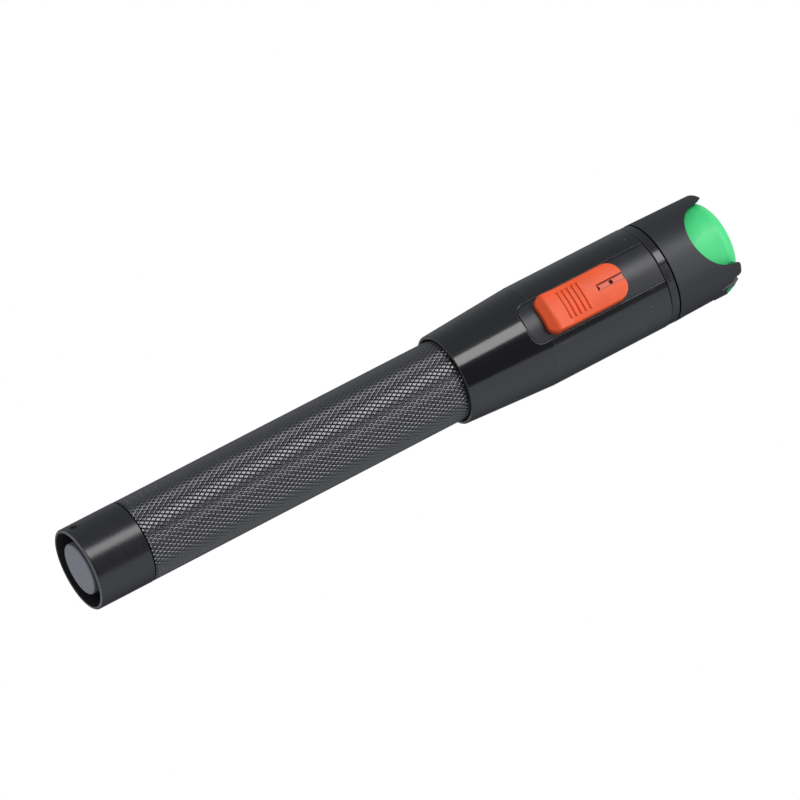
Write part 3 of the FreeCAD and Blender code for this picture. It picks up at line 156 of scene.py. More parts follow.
class LOCATOR_PG_finish(bpy.types.PropertyGroup):
    """Colours of the moulded, anodised and plated pieces."""

    anodised: colour("Anodised black", "Turned and anodised aluminium", (0.012, 0.012, 0.015))
    gloss: colour("Gloss black", "Head housing", (0.008, 0.008, 0.010))
    satin: colour("Satin black", "Crown, bezel and hinge bracket", (0.016, 0.017, 0.021))
    orange: colour("Orange", "Switch knob", (0.86, 0.092, 0.015))
    green: colour("Green", "Dust cap", (0.062, 0.70, 0.225))
    magnet: colour("Magnet grey", "Disc in the tail", (0.44, 0.43, 0.475))
    nickel: colour("Nickel", "Plated port and switch parts", (0.66, 0.64, 0.60))
    brass: colour("Brass", "Laser barrel and contacts", (0.70, 0.50, 0.22))
    steel: colour("Steel", "Spring, pin and cell cans", (0.58, 0.58, 0.60))
    ceramic: colour("Ceramic", "Ferrule sleeve", (0.88, 0.87, 0.82))
    board: colour("Board green", "Driver board", (0.015, 0.16, 0.06))
    rubber: colour("Rubber", "Seal rings", (0.012, 0.012, 0.012))
    thread_pitch: bpy.props.FloatProperty(
        name="Thread pitch", description="Pitch of the tail cap's thread", default=1.0 * MM, unit="LENGTH",
    )
    turning_pitch: bpy.props.FloatProperty(
        name="Turning marks", description="Spacing of the lathe marks", default=0.28 * MM, unit="LENGTH",
    )


class LOCATOR_PG_stage(bpy.types.PropertyGroup):
    """Camera, lamps and background."""

    azimuth: bpy.props.FloatProperty(
        name="Azimuth", description="Camera's turn from -Y towards +X",
        default=math.radians(11.0), subtype="ANGLE",
    )
    elevation: bpy.props.FloatProperty(
        name="Elevation", description="Camera's height angle", default=math.radians(-21.4), subtype="ANGLE",
    )
    roll: bpy.props.FloatProperty(
        name="Roll", description="Turn of the camera about its own line of sight",
        default=math.radians(62.63), subtype="ANGLE",
    )
    distance: bpy.props.FloatProperty(
        name="Distance", description="Camera to the point it looks at", default=1.7, unit="LENGTH",
    )
    lens: bpy.props.FloatProperty(name="Lens", description="Focal length in millimetres", default=323.7)
    aim_height: bpy.props.FloatProperty(
        name="Aim height", description="Height of the point looked at", default=90.65 * MM, unit="LENGTH",
    )
    aim_side: bpy.props.FloatProperty(
        name="Aim side", description="Offset of the point looked at, to the camera's right",
        default=-0.73 * MM, unit="LENGTH",
    )
    strip_power: bpy.props.FloatProperty(
        name="Strip lamp", description="Power of the strip lamp", default=5.0,
    )
    top_power: bpy.props.FloatProperty(name="High lamp", description="Power of the high lamp", default=4.5)
    fill: bpy.props.FloatProperty(name="Fill", description="World light on matt surfaces", default=0.36)


# ---------------------------------------------------------------- shader maths


class Wire:
    """A shader socket that takes part in Python arithmetic."""

    def __init__(self, finish, socket):
        self.finish = finish
        self.socket = socket

    def maths(self, operation, *others, swap=False):
        values = [self, *others]
        if swap:
            values.reverse()
        return self.finish.maths(operation, *values)

    def __add__(self, other):
        return self.maths("ADD", other)

    def __radd__(self, other):
        return self.maths("ADD", other)

    def __sub__(self, other):
        return self.maths("SUBTRACT", other)

    def __rsub__(self, other):
        return self.maths("SUBTRACT", other, swap=True)

    def __mul__(self, other):
        return self.maths("MULTIPLY", other)

    def __rmul__(self, other):
        return self.maths("MULTIPLY", other)

    def __truediv__(self, other):
        return self.maths("DIVIDE", other)

    def __rtruediv__(self, other):
        return self.maths("DIVIDE", other, swap=True)

    def __neg__(self):
        return self.maths("MULTIPLY", -1.0)

    def __abs__(self):
        return self.finish.maths("ABSOLUTE", self)

    def at_least(self, other):
        return self.maths("MAXIMUM", other)

    def at_most(self, other):
        return self.maths("MINIMUM", other)

    def sine(self):
        return self.finish.maths("SINE", self)

    def root(self):
        return self.finish.maths("SQRT", self)

    def ramp(self, low, high, start=0.0, end=1.0):
        """Smooth step from start to end while the value goes from low to high."""
        made = self.finish.node(
            "ShaderNodeMapRange", {"interpolation_type": "SMOOTHSTEP"},
            {"Value": self, "From Min": low, "From Max": high, "To Min": start, "To Max": end},
        )
        return Wire(self.finish, made.outputs["Result"])


class Finish:
    """A material, with its nodes made through one method."""

    def __init__(self, name):
        found = bpy.data.materials.get(name)
        if found:
            bpy.data.materials.remove(found)
        self.material = bpy.data.materials.new(name)
        self.material.use_nodes = True
        self.tree = self.material.node_tree
        self.shader = self.tree.nodes["Principled BSDF"]
        self.place = None

    def node(self, kind, settings=None, inputs=None):
        made = self.tree.nodes.new(kind)
        for key, value in (settings or {}).items():
            setattr(made, key, value)
        for key, value in (inputs or {}).items():
            self.feed(made.inputs[key], value)
        return made

    def feed(self, socket, value):
        if isinstance(value, Wire):
            self.tree.links.new(value.socket, socket)
        else:
            socket.default_value = value

    def fed(self, name):
        """What already feeds one of the shader's sockets."""
        return Wire(self, self.shader.inputs[name].links[0].from_socket)

    def wire(self, node, output):
        return Wire(self, node.outputs[output])

    def maths(self, operation, *values):
        made = self.node("ShaderNodeMath", {"operation": operation}, dict(enumerate(values)))
        return self.wire(made, 0)

    def position(self):
        """The point on the piece: the vector, then x, y and z, in metres."""
        if self.place is None:
            coordinate = self.node("ShaderNodeTexCoord")
            vector = self.wire(coordinate, "Object")
            split = self.node("ShaderNodeSeparateXYZ", inputs={"Vector": vector})
            self.place = (vector, *(self.wire(split, axis) for axis in "XYZ"))
        return self.place

    def radius(self):
        _, x, y, _ = self.position()
        return (x * x + y * y).root()

    def noise(self, scale, detail=2.0, stretch=None, roughness=0.5):
        vector = self.position()[0]
        if stretch is not None:
            mapped = self.node("ShaderNodeMapping", inputs={"Vector": vector, "Scale": stretch})
            vector = self.wire(mapped, "Vector")
        made = self.node(
            "ShaderNodeTexNoise",
            inputs={"Vector": vector, "Scale": scale, "Detail": detail, "Roughness": roughness},
        )
        return self.wire(made, 0)

    def specks(self, scale, size):
        """1 inside small scattered dots, 0 between them."""
        made = self.node("ShaderNodeTexVoronoi", inputs={"Vector": self.position()[0], "Scale": scale})
        return self.wire(made, "Distance").ramp(size * 0.4, size, 1.0, 0.0)

    def mix(self, share, first, second):
        """A colour between two others."""
        made = self.node("ShaderNodeMix", {"data_type": "RGBA"})
        self.feed(made.inputs[0], share)
        for index, value in ((6, first), (7, second)):
            self.feed(made.inputs[index], value if isinstance(value, Wire) else (*value[:3], 1.0))
        return self.wire(made, 2)

    def bump(self, height, distance, strength=1.0, under=None):
        inputs = {"Height": height, "Distance": distance, "Strength": strength}
        if under is not None:
            inputs["Normal"] = under
        return self.wire(self.node("ShaderNodeBump", inputs=inputs), "Normal")

    def set(self, **values):
        for key, value in values.items():
            socket = self.shader.inputs[key.replace("_", " ").title().replace("Ior", "IOR")]
            if isinstance(value, tuple) and len(value) == 3:
                value = (*value, 1.0)
            self.feed(socket, value)
        return self

    def dress(self, *nodes):
        """Put the material on CAD nodes or new pieces."""
        for thing in nodes:
            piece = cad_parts[thing] if isinstance(thing, str) else thing
            piece.data.materials.clear()
            piece.data.materials.append(self.material)


# ---------------------------------------------------------------- modelling helpers


def start_fresh():
    """Object mode, with nothing selected."""
    if bpy.context.object and bpy.context.object.mode != "OBJECT":
        bpy.ops.object.mode_set(mode="OBJECT")
    bpy.ops.object.select_all(action="DESELECT")


def pick(piece, test, mode="VERT"):
    """Select in edit mode only the vertices, edges or faces that pass the test."""
    bpy.ops.mesh.select_mode(type=mode)
    bpy.ops.mesh.select_all(action="DESELECT")
    mesh = bmesh.from_edit_mesh(piece.data)
    items = {"VERT": mesh.verts, "EDGE": mesh.edges, "FACE": mesh.faces}[mode]
    for item in items:
        if test(item):
            item.select_set(True)
    bmesh.update_edit_mesh(piece.data)


def turned(name, profile, segments):
    """A closed ring of revolution about Z, from (radius, height) pairs in order round its section."""
    start_fresh()
    radius, height = profile[0]
    bpy.ops.mesh.primitive_circle_add(vertices=segments, radius=radius, location=(0, 0, 0))
    piece = bpy.context.object
    piece.name = name
    bpy.ops.object.mode_set(mode="EDIT")
    bpy.ops.mesh.select_all(action="SELECT")
    bpy.ops.transform.translate(value=(0, 0, height))
    for next_radius, next_height in [*profile[1:], profile[0]]:
        bpy.ops.mesh.extrude_edges_move(TRANSFORM_OT_translate={"value": (0, 0, next_height - height)})
        share = next_radius / radius
        bpy.ops.transform.resize(value=(share, share, 1), center_override=(0, 0, next_height))
        radius, height = next_radius, next_height
    bpy.ops.mesh.select_all(action="SELECT")
    bpy.ops.mesh.remove_doubles(threshold=MERGE)
    bpy.ops.mesh.normals_make_consistent(inside=False)
    bpy.ops.object.mode_set(mode="OBJECT")
    bpy.ops.object.shade_smooth_by_angle(angle=math.radians(30))
    return piece


def apply_modifier(piece, kind, **settings):
    modifier = piece.modifiers.new(kind.title(), kind)
    for key, value in settings.items():
        setattr(modifier, key, value)
    bpy.ops.object.modifier_apply(modifier=modifier.name)


# ---------------------------------------------------------------- knurled battery tube


def knurl_sleeve(grip, rear, front):
    """Diamond knurl: one tooth repeated over a flat sheet, which is then bent round the barrel."""
    start_fresh()
    width = 2 * math.pi * grip.crest / grip.starts
    height = width / math.tan(grip.helix)
    rows = math.ceil((front - rear) / height) + 1
    bpy.ops.mesh.primitive_circle_add(vertices=4, radius=1.0, fill_type="NGON")
    sleeve = bpy.context.object
    sleeve.name = "knurl_sleeve"
    bpy.ops.object.mode_set(mode="EDIT")
    bpy.ops.mesh.select_all(action="SELECT")
    bpy.ops.transform.resize(value=(width / 2, height / 2, 1))
    share = 1.0
    wall = (grip.bevel_share, grip.depth - grip.bevel_depth)
    for next_share, rise in (wall, (grip.top_share, grip.bevel_depth)):
        bpy.ops.mesh.extrude_region_move(TRANSFORM_OT_translate={"value": (0, 0, rise)})
        bpy.ops.transform.resize(value=(next_share / share, next_share / share, 1))
        share = next_share
    pick(sleeve, lambda face: face.normal.z < -0.9, "FACE")
    bpy.ops.mesh.delete(type="FACE")
    bpy.ops.mesh.select_all(action="SELECT")
    bpy.ops.mesh.duplicate_move(TRANSFORM_OT_translate={"value": (width / 2, height / 2, 0)})
    bpy.ops.object.mode_set(mode="OBJECT")
    apply_modifier(
        sleeve, "ARRAY", count=grip.starts, use_relative_offset=False, use_constant_offset=True,
        constant_offset_displace=(width, 0, 0),
    )
    apply_modifier(
        sleeve, "ARRAY", count=rows, use_relative_offset=False, use_constant_offset=True,
        constant_offset_displace=(0, height, 0),
    )
    bpy.ops.object.mode_set(mode="EDIT")
    bpy.ops.mesh.select_all(action="SELECT")
    bpy.ops.mesh.remove_doubles(threshold=MERGE)
    bpy.ops.transform.translate(value=(-width * grip.starts / 2, 0, -grip.depth))
    bpy.ops.object.mode_set(mode="OBJECT")
    sleeve.rotation_euler = (math.pi / 2, 0, 0)
    bpy.ops.object.transform_apply(location=False, rotation=True, scale=False)
    apply_modifier(
        sleeve, "SIMPLE_DEFORM", deform_method="BEND", deform_axis="Z",
        angle=2 * math.pi * (1 + 0.5 / grip.starts),
    )
    return sleeve


def trim_sleeve(sleeve, rear, front, inner):
    """Centre the sleeve, cut its ends square and close it with an inner wall."""
    low = Vector([min(v.co[k] for v in sleeve.data.vertices) for k in range(3)])
    high = Vector([max(v.co[k] for v in sleeve.data.vertices) for k in range(3)])
    shift = -(low + high) / 2
    shift.z = rear - low.z - (high.z - low.z - (front - rear)) / 2
    bpy.ops.object.mode_set(mode="EDIT")
    bpy.ops.mesh.select_all(action="SELECT")
    bpy.ops.transform.translate(value=shift)
    bpy.ops.mesh.remove_doubles(threshold=MERGE * 10)
    for height, up in ((rear, False), (front, True)):
        bpy.ops.mesh.select_all(action="SELECT")
        bpy.ops.mesh.bisect(
            plane_co=(0, 0, height), plane_no=(0, 0, 1), clear_inner=not up, clear_outer=up, use_fill=False,
        )
    for height in (rear, front):
        pick(sleeve, lambda edge: on_open_end(edge, height), "EDGE")
        bpy.ops.mesh.extrude_edges_move(TRANSFORM_OT_translate={"value": (0, 0, 0)})
    pull_in(sleeve, inner, (rear, front))
    pick(sleeve, lambda edge: edge.is_boundary, "EDGE")
    bpy.ops.mesh.bridge_edge_loops()
    bpy.ops.mesh.select_all(action="SELECT")
    bpy.ops.mesh.normals_make_consistent(inside=False)
    bpy.ops.object.mode_set(mode="OBJECT")


def on_open_end(edge, height):
    return edge.is_boundary and all(abs(vertex.co.z - height) < MERGE for vertex in edge.verts)


def pull_in(sleeve, inner, ends):
    """Draw the open end rings in to the inner radius."""
    mesh = bmesh.from_edit_mesh(sleeve.data)
    for vertex in mesh.verts:
        if vertex.is_boundary and min(abs(vertex.co.z - end) for end in ends) < MERGE:
            flat = Vector((vertex.co.x, vertex.co.y, 0)).normalized() * inner
            vertex.co.x, vertex.co.y = flat.x, flat.y
    bmesh.update_edit_mesh(sleeve.data)


class LOCATOR_OT_tube(bpy.types.Operator):
    """Model the battery tube: diamond-knurled grip, plain neck, bore and threaded socket"""

    bl_idname = "locator.tube"
    bl_label = "Knurled tube"

    def execute(self, context):
        grip = context.scene.locator_grip
        low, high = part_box("battery_tube")
        shoulder = high.z - grip.neck_length
        root = grip.crest - grip.depth
        core = root - 0.05 * MM
        inner = core - 0.3 * MM
        bevel = grip.rear_bevel
        body = turned("knurled_tube", [
            (core - bevel, low.z), (core, low.z + bevel), (core, shoulder), (grip.neck_radius, shoulder),
            (grip.neck_radius, high.z - bevel), (grip.neck_radius - bevel, high.z), (grip.bore, high.z),
            (grip.bore, low.z + grip.socket_depth), (grip.socket, low.z + grip.socket_depth),
            (grip.socket, low.z),
        ], grip.segments)
        sleeve = knurl_sleeve(grip, low.z, shoulder)
        trim_sleeve(sleeve, low.z + 0.1 * MM, shoulder - 0.01 * MM, inner)
        start_fresh()
        sleeve.select_set(True)
        body.select_set(True)
        context.view_layer.objects.active = body
        bpy.ops.object.join()
        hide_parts("battery_tube")
        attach(body, "barrel")
        finish_knurl(context.scene.locator_finish, grip).dress(body)
        return {"FINISHED"}


def finish_knurl(colours, grip):
    """Anodised black: worn-bright diamond tops, painted shade darkening the grooves, and a thread in the
    socket.
    """
    finish = Finish("knurled_anodise")
    radius = finish.radius()
    grain = finish.noise(2600.0, detail=3.0)
    top = radius.ramp(grip.crest - grip.depth * 0.55, grip.crest - grip.depth * 0.12)
    # tops lighter from wear; grooves darker as painted shade
    shade = finish.mix(top, scaled(colours.anodised, 0.45), scaled(colours.anodised, 1.7))
    rough = 0.24 + grain * 0.12 - top * 0.06
    in_socket = radius.ramp(grip.socket, grip.socket + 0.2 * MM, 1.0, 0.0)
    thread = thread_wave(finish, colours.thread_pitch) * in_socket
    relief = grain * 0.012 + thread * 0.25
    return finish.set(
        Base_Color=shade, Roughness=rough, Metallic=0.0, IOR=2.05, Normal=finish.bump(relief, MM, 0.9),
    )


def scaled(value, factor):
    """A colour made lighter or darker."""
    return tuple(channel * factor for channel in value)


def thread_wave(finish, pitch):
    """Height of a right-hand helical thread, from 0 to 1."""
    _, x, y, z = finish.position()
    angle = finish.maths("ARCTAN2", y, x)
    return (z * (2 * math.pi / pitch) - angle).sine() * 0.5 + 0.5


# ---------------------------------------------------------------- finishes


def finish_turned(name, colours, tint=1.0, marks=1.0, dullness=0.11, tail=None):
    """Turned, anodised aluminium with lathe marks; tail is the rear height of the worn, threaded tail cap."""
    finish = Finish(name)
    z = finish.position()[3]
    marks_wave = (z * (2 * math.pi / colours.turning_pitch)).sine() * 0.5 + 0.5
    bands = finish.noise(1.0, detail=3.0, stretch=(12.0, 12.0, 2400.0))
    cloud = finish.noise(90.0, detail=2.0)
    shade = finish.mix(cloud, scaled(colours.anodised, tint * 0.85), scaled(colours.anodised, tint * 1.25))
    rough = dullness + bands * 0.08
    relief = marks_wave * 0.006 * marks + bands * 0.012 * marks
    if tail is not None:
        radius = finish.radius()
        rim = z.ramp(tail, tail + 0.3 * MM, 1.0, 0.0) * radius.ramp(RIM_INNER, RIM_INNER + 0.3 * MM)
        # painted shade: the recess round the magnet is coloured near black
        inside = radius.ramp(RECESS_EDGE, RECESS_EDGE + 0.15 * MM, 1.0, 0.0) * z.ramp(tail, tail + 0.4 * MM)
        worn = finish.mix(rim * (0.5 + cloud * 0.5), shade, WORN_METAL)
        shade = finish.mix(inside, worn, RECESS_PAINTED_SHADE)
        rough = rough + inside * 0.5
        threaded = z.ramp(tail + THREAD_START, tail + THREAD_START + 0.1 * MM)
        relief = relief + thread_wave(finish, colours.thread_pitch) * threaded * 0.3
    return finish.set(
        Base_Color=shade, Roughness=rough, IOR=1.60, Normal=finish.bump(relief, MM, 1.0),
    )


def window_distance(finish, half, rear, front, corner):
    """Distance outside the rounded window in the head, in metres, negative inside it."""
    _, x, y, z = finish.position()
    across = abs(x) - (half - corner)
    along = abs(z - (rear + front) / 2) - ((front - rear) / 2 - corner)
    beyond_across = across.at_least(0.0)
    beyond_along = along.at_least(0.0)
    outside = (beyond_across * beyond_across + beyond_along * beyond_along).root()
    inside = across.at_least(along).at_most(0.0)
    return outside + inside - corner


def finish_gloss(colours):
    """Smooth gloss black coat, with the dust and fine scratches of a used tool, and painted highlights along
    the window's seam and round the taper's end.
    """
    finish = Finish("gloss_coat")
    _, x, y, z = finish.position()
    low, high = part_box("head_housing")
    window_front = high.z + WINDOW_PAST_FRONT
    seam = window_distance(finish, WINDOW_HALF, low.z + WINDOW_REAR, window_front, WINDOW_CORNER)
    edge = abs(seam - 0.07 * MM).ramp(0.02 * MM, 0.10 * MM, 1.0, 0.0) * y.ramp(-8 * MM, -5 * MM, 1.0, 0.0)
    # painted highlight: a light line along the window's seam, stronger on the +x side
    edge_highlight = edge * x.ramp(-1.0 * MM, 1.0 * MM, 0.10, 0.55)
    # painted highlight: a thin light ring where the taper meets the cylinder
    taper_end = abs(z - (low.z + TAPER_LENGTH)).ramp(0.03 * MM, 0.12 * MM, 1.0, 0.0)
    lathe = finish.noise(1.0, detail=2.0, stretch=(8.0, 8.0, 3200.0))
    cloud = finish.noise(160.0, detail=2.0)
    dust = finish.specks(520.0, 0.16) * finish.noise(140.0, detail=1.0).ramp(0.62, 0.68)
    scratch = finish.noise(1.0, detail=2.0, stretch=(900.0, 900.0, 90.0)).ramp(0.70, 0.74)
    near = seam.ramp(0.3 * MM, 2.6 * MM, 1.0, 0.0) * y.ramp(-8 * MM, -6 * MM, 1.0, 0.0)
    used = near * x.ramp(2.0 * MM, 4.5 * MM)
    # dust and scratches are real marks; the seam line and the taper ring are painted highlights
    mark = (dust * 0.5 + scratch * used * 0.6 + edge_highlight + taper_end * 0.14).at_most(1.0)
    shade = finish.mix(mark, tuple(colours.gloss), COAT_WEAR_AND_HIGHLIGHT)
    relief = lathe * 0.0035 + seam.ramp(0.0, 0.22 * MM) * 0.16
    return finish.set(
        Base_Color=shade, Roughness=0.135 + cloud * 0.05 + mark * 0.25, IOR=1.56,
        Coat_Weight=0.35, Normal=finish.bump(relief, MM, 1.0),
    )


def finish_satin(name, colours, tint=1.0, rough=0.36, grain_height=0.008):
    """Satin black moulding with a very fine spark-eroded grain."""
    finish = Finish(name)
    grain = finish.noise(3800.0, detail=2.0)
    cloud = finish.noise(120.0, detail=3.0)
    dust = finish.specks(640.0, 0.13) * finish.noise(200.0, detail=1.0).ramp(0.64, 0.69)
    clean = finish.mix(cloud, scaled(colours.satin, tint * 0.9), scaled(colours.satin, tint * 1.15))
    shade = finish.mix(dust * 0.45, clean, DUST)
    return finish.set(
        Base_Color=shade, Roughness=rough + cloud * 0.08, IOR=1.5,
        Normal=finish.bump(grain * grain_height + cloud * 0.01, MM, 1.0),
    )


def finish_moulded(name, value, rough=0.3, wave=0.02, deep=0.82):
    """Coloured moulded plastic: slight flow clouds, fine skin and soft gloss."""
    finish = Finish(name)
    cloud = finish.noise(210.0, detail=3.0)
    skin = finish.noise(3000.0, detail=2.0)
    shade = finish.mix(cloud.ramp(0.3, 0.7), scaled(value, deep), tuple(value))
    return finish.set(
        Base_Color=shade, Roughness=rough + skin * 0.08, IOR=1.49,
        Normal=finish.bump(skin * 0.006 + cloud * wave, MM, 1.0),
    )


def finish_knob(colours):
    """Orange moulding whose thumb ribs are soft waves, with a paler channel floor of settled dust and painted
    light, and painted shade in the channel's corners.
    """
    finish = finish_moulded("orange_knob", colours.orange, 0.40, 0.015, 0.90)
    _, x, y, z = finish.position()
    low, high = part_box("switch_knob")
    row = (z - (low.z + RIB_START)) / RIB_PITCH
    wave = (row * (2 * math.pi) + math.pi / 2).sine() * 0.5 + 0.5
    in_rows = row.ramp(-0.6, -0.4) * row.ramp(LAST_RIB + 0.4, LAST_RIB + 0.6, 1.0, 0.0)
    rows = in_rows * abs(x).ramp(3.1 * MM, 3.8 * MM, 1.0, 0.0)
    end = high.z - CHANNEL_LENGTH
    below_top = y.ramp(low.y + CHANNEL_DROP, low.y + CHANNEL_DROP + 0.2 * MM)
    between = abs(x).ramp(CHANNEL_HALF, CHANNEL_HALF + CHANNEL_EDGE, 1.0, 0.0)
    channel = below_top * between * z.ramp(end - 0.2 * MM, end)
    # painted shade where the channel's floor meets its walls
    corner = channel * abs(x).ramp(0.35 * MM, 0.88 * MM)
    # paler floor over the whole channel: settled dust and painted light
    dust_and_lit_floor = finish.mix(channel * 0.30, finish.fed("Base Color"), CHANNEL_DUST_AND_LIGHT)
    return finish.set(
        Base_Color=finish.mix(corner * 0.80, dust_and_lit_floor, CHANNEL_PAINTED_SHADE),
        Normal=finish.bump(wave * rows * 0.22, MM, 1.0, finish.fed("Normal")),
    )


def finish_metal(name, value, rough=0.3, pitch=0.12, pitted=0.0):
    """Bare or plated metal with turning marks."""
    finish = Finish(name)
    lines = finish.noise(1.0, detail=2.0, stretch=(60.0, 60.0, 1.0 / (pitch * MM)))
    cloud = finish.noise(300.0, detail=2.0)
    shade = finish.mix(cloud, scaled(value, 0.85), tuple(value))
    return finish.set(
        Base_Color=shade, Metallic=1.0, Roughness=rough + lines * 0.12,
        Normal=finish.bump(lines * 0.01 + cloud * pitted, MM, 0.8),
    )


def finish_magnet(colours):
    """Matt coated disc magnet, smoother at its bevel, with painted shade darkening the bevel."""
    finish = Finish("coated_magnet")
    radius = finish.radius()
    rim = radius.ramp(6.15 * MM, 6.4 * MM)
    grain = finish.noise(2400.0, detail=3.0)
    cloud = finish.noise(180.0, detail=2.0)
    face = finish.mix(cloud, scaled(colours.magnet, 0.93), scaled(colours.magnet, 1.06))
    # painted shade: the bevel is darkened
    shade = finish.mix(rim * 0.55, face, (0.09, 0.09, 0.10))
    return finish.set(
        Base_Color=shade, Roughness=0.55 - rim * 0.12 + grain * 0.08, Metallic=0.0,
        Normal=finish.bump(grain * 0.01, MM, 1.0),
    )


class LOCATOR_OT_tail(bpy.types.Operator):
    """Finish the tail cap, its magnet, spring and seal"""

    bl_idname = "locator.tail"
    bl_label = "Tail cap"

    def execute(self, context):
        colours = context.scene.locator_finish
        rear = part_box("tail_cap")[0].z
        finish_turned("turned_tail", colours, 1.1, marks=1.4, dullness=0.19, tail=rear).dress("tail_cap")
        finish_magnet(colours).dress("tail_magnet")
        finish_metal("spring_wire", colours.steel, 0.25).dress("tail_spring")
        rubber = finish_moulded("seal_rubber", colours.rubber, 0.6)
        rubber.dress("tail_seal", "head_seal")
        return {"FINISHED"}


class LOCATOR_OT_head(bpy.types.Operator):
    """Finish the head housing, its collar ring and the crown"""

    bl_idname = "locator.head"
    bl_label = "Head and crown"

    def execute(self, context):
        colours = context.scene.locator_finish
        finish_gloss(colours).dress("head_housing")
        finish_turned("turned_collar", colours, 1.0, marks=0.8).dress("collar_ring")
        finish_satin("satin_crown", colours, 1.0, 0.40).dress("crown_bezel")
        finish_satin("satin_bracket", colours, 0.9, 0.32).dress("hinge_bracket")
        finish_metal("hinge_pin_steel", scaled(colours.steel, 0.12), 0.35).dress("cap_hinge_pin")
        return {"FINISHED"}


class LOCATOR_OT_switch(bpy.types.Operator):
    """Finish the switch panel and its knob"""

    bl_idname = "locator.switch"
    bl_label = "Switch"

    def execute(self, context):
        colours = context.scene.locator_finish
        finish_satin("satin_panel", colours, 0.95, 0.30, 0.005).dress("switch_bezel")
        finish_knob(colours).dress("switch_knob")
        return {"FINISHED"}


class LOCATOR_OT_cap(bpy.types.Operator):
    """Finish the dust cap and the fibre port below it"""

    bl_idname = "locator.cap"
    bl_label = "Dust cap and port"

    def execute(self, context):
        colours = context.scene.locator_finish
        finish_moulded("green_cap", colours.green, 0.38, 0.012, 0.95).dress("dust_cap")
        finish_metal("nickel_port", colours.nickel, 0.22).dress("port_body", "port_nut")
        finish_moulded("ceramic_sleeve", colours.ceramic, 0.2, 0.002, 0.97).dress("ferrule_sleeve")
        return {"FINISHED"}


class LOCATOR_OT_inside(bpy.types.Operator):
    """Finish the cells, contacts, driver board and laser module"""

    bl_idname = "locator.inside"
    bl_label = "Inner pieces"

    def execute(self, context):
        colours = context.scene.locator_finish
        finish_metal("cell_can", colours.steel, 0.35).dress("rear_cell", "front_cell")
        finish_metal("turned_brass", colours.brass, 0.25).dress(
            "front_contact", "laser_barrel", "laser_diode", "lens_retainer",
        )
        finish_metal("plated_steel", colours.nickel, 0.3).dress("slide_switch_case", "carrier_screws")
        black = finish_moulded("black_moulding", (0.022, 0.022, 0.024), 0.4)
        black.dress("contact_insulator", "slide_switch_lever", "driver_chip", "inner_carrier")
        finish_moulded("solder_mask", colours.board, 0.25).dress("driver_board")
        finish_moulded("trimmer_case", (0.04, 0.12, 0.45), 0.3).dress("power_trimmer")
        lens = finish_moulded("lens_glass", (0.95, 0.97, 0.97), 0.02, 0.0, 1.0)
        lens.set(Transmission_Weight=1.0, IOR=1.52).dress("collimator_lens")
        return {"FINISHED"}


# ---------------------------------------------------------------- stage


def around(azimuth, elevation):
    """Unit vector from the barrel towards that direction; azimuth 0 is -Y and grows towards +X."""
    return Vector((
        math.sin(azimuth) * math.cos(elevation),
        -math.cos(azimuth) * math.cos(elevation),
        math.sin(elevation),
    ))


def lamp(name, direction, distance, size, power, target):
    """A rectangular lamp facing the target, its long side along the barrel."""
    data = bpy.data.lights.new(name, "AREA")
    data.shape = "RECTANGLE"
    data.size, data.size_y = size
    data.energy = power
    made = bpy.data.objects.new(name, data)
    bpy.context.scene.collection.objects.link(made)
    made.location = target + direction * distance
    side = Vector((0, 0, 1)).cross(direction).normalized()
    up = direction.cross(side)
    made.matrix_world = matrix_of(side, up, direction, made.location)


def matrix_of(right, up, back, location):
    made = Matrix((right, up, back)).transposed().to_4x4()
    made.translation = location
    return made


def degrees_ramp(turn, first, last, start=0.0, end=1.0):
    """Smooth step over a span of directions given in degrees."""
    return turn.ramp(math.radians(first), math.radians(last), start, end)


def light_world(stage):
    """White to the camera; a soft studio round the object, dim on the camera's side, to everything else."""
    world = bpy.context.scene.world or bpy.data.worlds.new("Studio")
    bpy.context.scene.world = world
    world.use_nodes = True
    tree = world.node_tree
    tree.nodes.clear()
    studio = Finish.__new__(Finish)
    studio.tree = tree
    path = studio.node("ShaderNodeLightPath")
    coordinate = studio.node("ShaderNodeTexCoord")
    split = studio.node("ShaderNodeSeparateXYZ", inputs={"Vector": studio.wire(coordinate, "Generated")})
    x, y, z = (studio.wire(split, axis) for axis in "XYZ")
    turn = studio.maths("ARCTAN2", x, -y)
    left = degrees_ramp(turn, -175, -120, 0.09, 0.30)
    right = degrees_ramp(turn, 80, 165, 0.75, 0.09)
    on_right = degrees_ramp(turn, 20, 25)
    walls = left + (right - left) * on_right
    dark = degrees_ramp(turn, -4, -2) * degrees_ramp(turn, 51, 54, 1.0, 0.0)
    walls = walls - (walls - 0.05) * dark
    ceiling = z.ramp(0.60, 0.74)
    floor = z.ramp(-0.45, -0.30, 1.0, 0.0)
    walls = walls + (0.85 - walls) * ceiling
    walls = walls + (0.70 - walls) * floor
    glossy = studio.wire(path, "Is Glossy Ray")
    camera = studio.wire(path, "Is Camera Ray")
    seen = (camera + studio.wire(path, "Is Transmission Ray")).at_most(1.0)
    level = stage.fill * (1.0 - glossy) + glossy * walls
    strength = seen + (1.0 - seen) * level
    tint = studio.mix(seen, (0.90, 0.94, 1.0), (1.0, 1.0, 1.0))
    background = studio.node("ShaderNodeBackground", inputs={"Color": tint, "Strength": strength})
    output = studio.node("ShaderNodeOutputWorld")
    tree.links.new(background.outputs[0], output.inputs["Surface"])


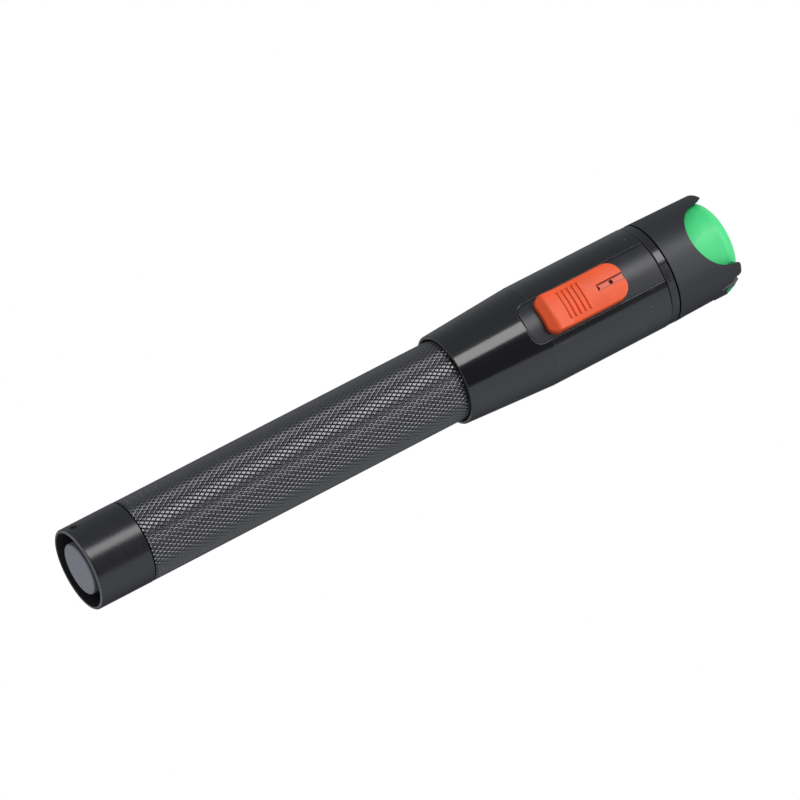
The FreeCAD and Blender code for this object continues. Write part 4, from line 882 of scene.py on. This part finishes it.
class LOCATOR_OT_stage(bpy.types.Operator):
    """Set the camera, lamps and white background"""

    bl_idname = "locator.stage"
    bl_label = "Stage"

    def execute(self, context):
        stage = context.scene.locator_stage
        context.scene.view_settings.view_transform = "Standard"
        light_world(stage)
        target = Vector((0, 0, stage.aim_height))
        strip_side = around(math.radians(-14), math.radians(20))
        high_side = around(math.radians(30), math.radians(45))
        lamp("strip_lamp", strip_side, 0.9, (0.35, 1.1), stage.strip_power, target)
        lamp("high_lamp", high_side, 1.1, (0.80, 0.45), stage.top_power, target)
        back = around(stage.azimuth, stage.elevation)
        level = Vector((0, 0, 1)).cross(back).normalized()
        rise = back.cross(level)
        right = level * math.cos(stage.roll) + rise * math.sin(stage.roll)
        up = rise * math.cos(stage.roll) - level * math.sin(stage.roll)
        data = bpy.data.cameras.new("Camera")
        data.lens = stage.lens
        data.sensor_width = 36.0
        data.clip_end = 20.0
        camera = bpy.data.objects.new("Camera", data)
        context.scene.collection.objects.link(camera)
        stand = target + level * stage.aim_side + back * stage.distance
        camera.matrix_world = matrix_of(right, up, back, stand)
        context.scene.camera = camera
        return {"FINISHED"}


class LOCATOR_PT_panel(bpy.types.Panel):
    """Buttons for every piece of the locator"""

    bl_label = "Fault Locator"
    bl_idname = "LOCATOR_PT_panel"
    bl_space_type = "VIEW_3D"
    bl_region_type = "UI"
    bl_category = "Fault Locator"

    def draw(self, context):
        for operator in OPERATORS:
            self.layout.operator(operator.bl_idname)


OPERATORS = (
    LOCATOR_OT_tube, LOCATOR_OT_tail, LOCATOR_OT_head, LOCATOR_OT_switch, LOCATOR_OT_cap, LOCATOR_OT_inside,
    LOCATOR_OT_stage,
)
GROUPS = (LOCATOR_PG_grip, LOCATOR_PG_finish, LOCATOR_PG_stage)


def register():
    for item in (*GROUPS, *OPERATORS, LOCATOR_PT_panel):
        bpy.utils.register_class(item)
    bpy.types.Scene.locator_grip = bpy.props.PointerProperty(type=LOCATOR_PG_grip)
    bpy.types.Scene.locator_finish = bpy.props.PointerProperty(type=LOCATOR_PG_finish)
    bpy.types.Scene.locator_stage = bpy.props.PointerProperty(type=LOCATOR_PG_stage)


def unregister():
    del bpy.types.Scene.locator_stage
    del bpy.types.Scene.locator_finish
    del bpy.types.Scene.locator_grip
    for item in (LOCATOR_PT_panel, *reversed(OPERATORS), *reversed(GROUPS)):
        bpy.utils.unregister_class(item)


def main():
    register()
    bpy.ops.locator.tube()
    bpy.ops.locator.tail()
    bpy.ops.locator.head()
    bpy.ops.locator.switch()
    bpy.ops.locator.cap()
    bpy.ops.locator.inside()
    bpy.ops.locator.stage()


if __name__ == "__main__":
    main()
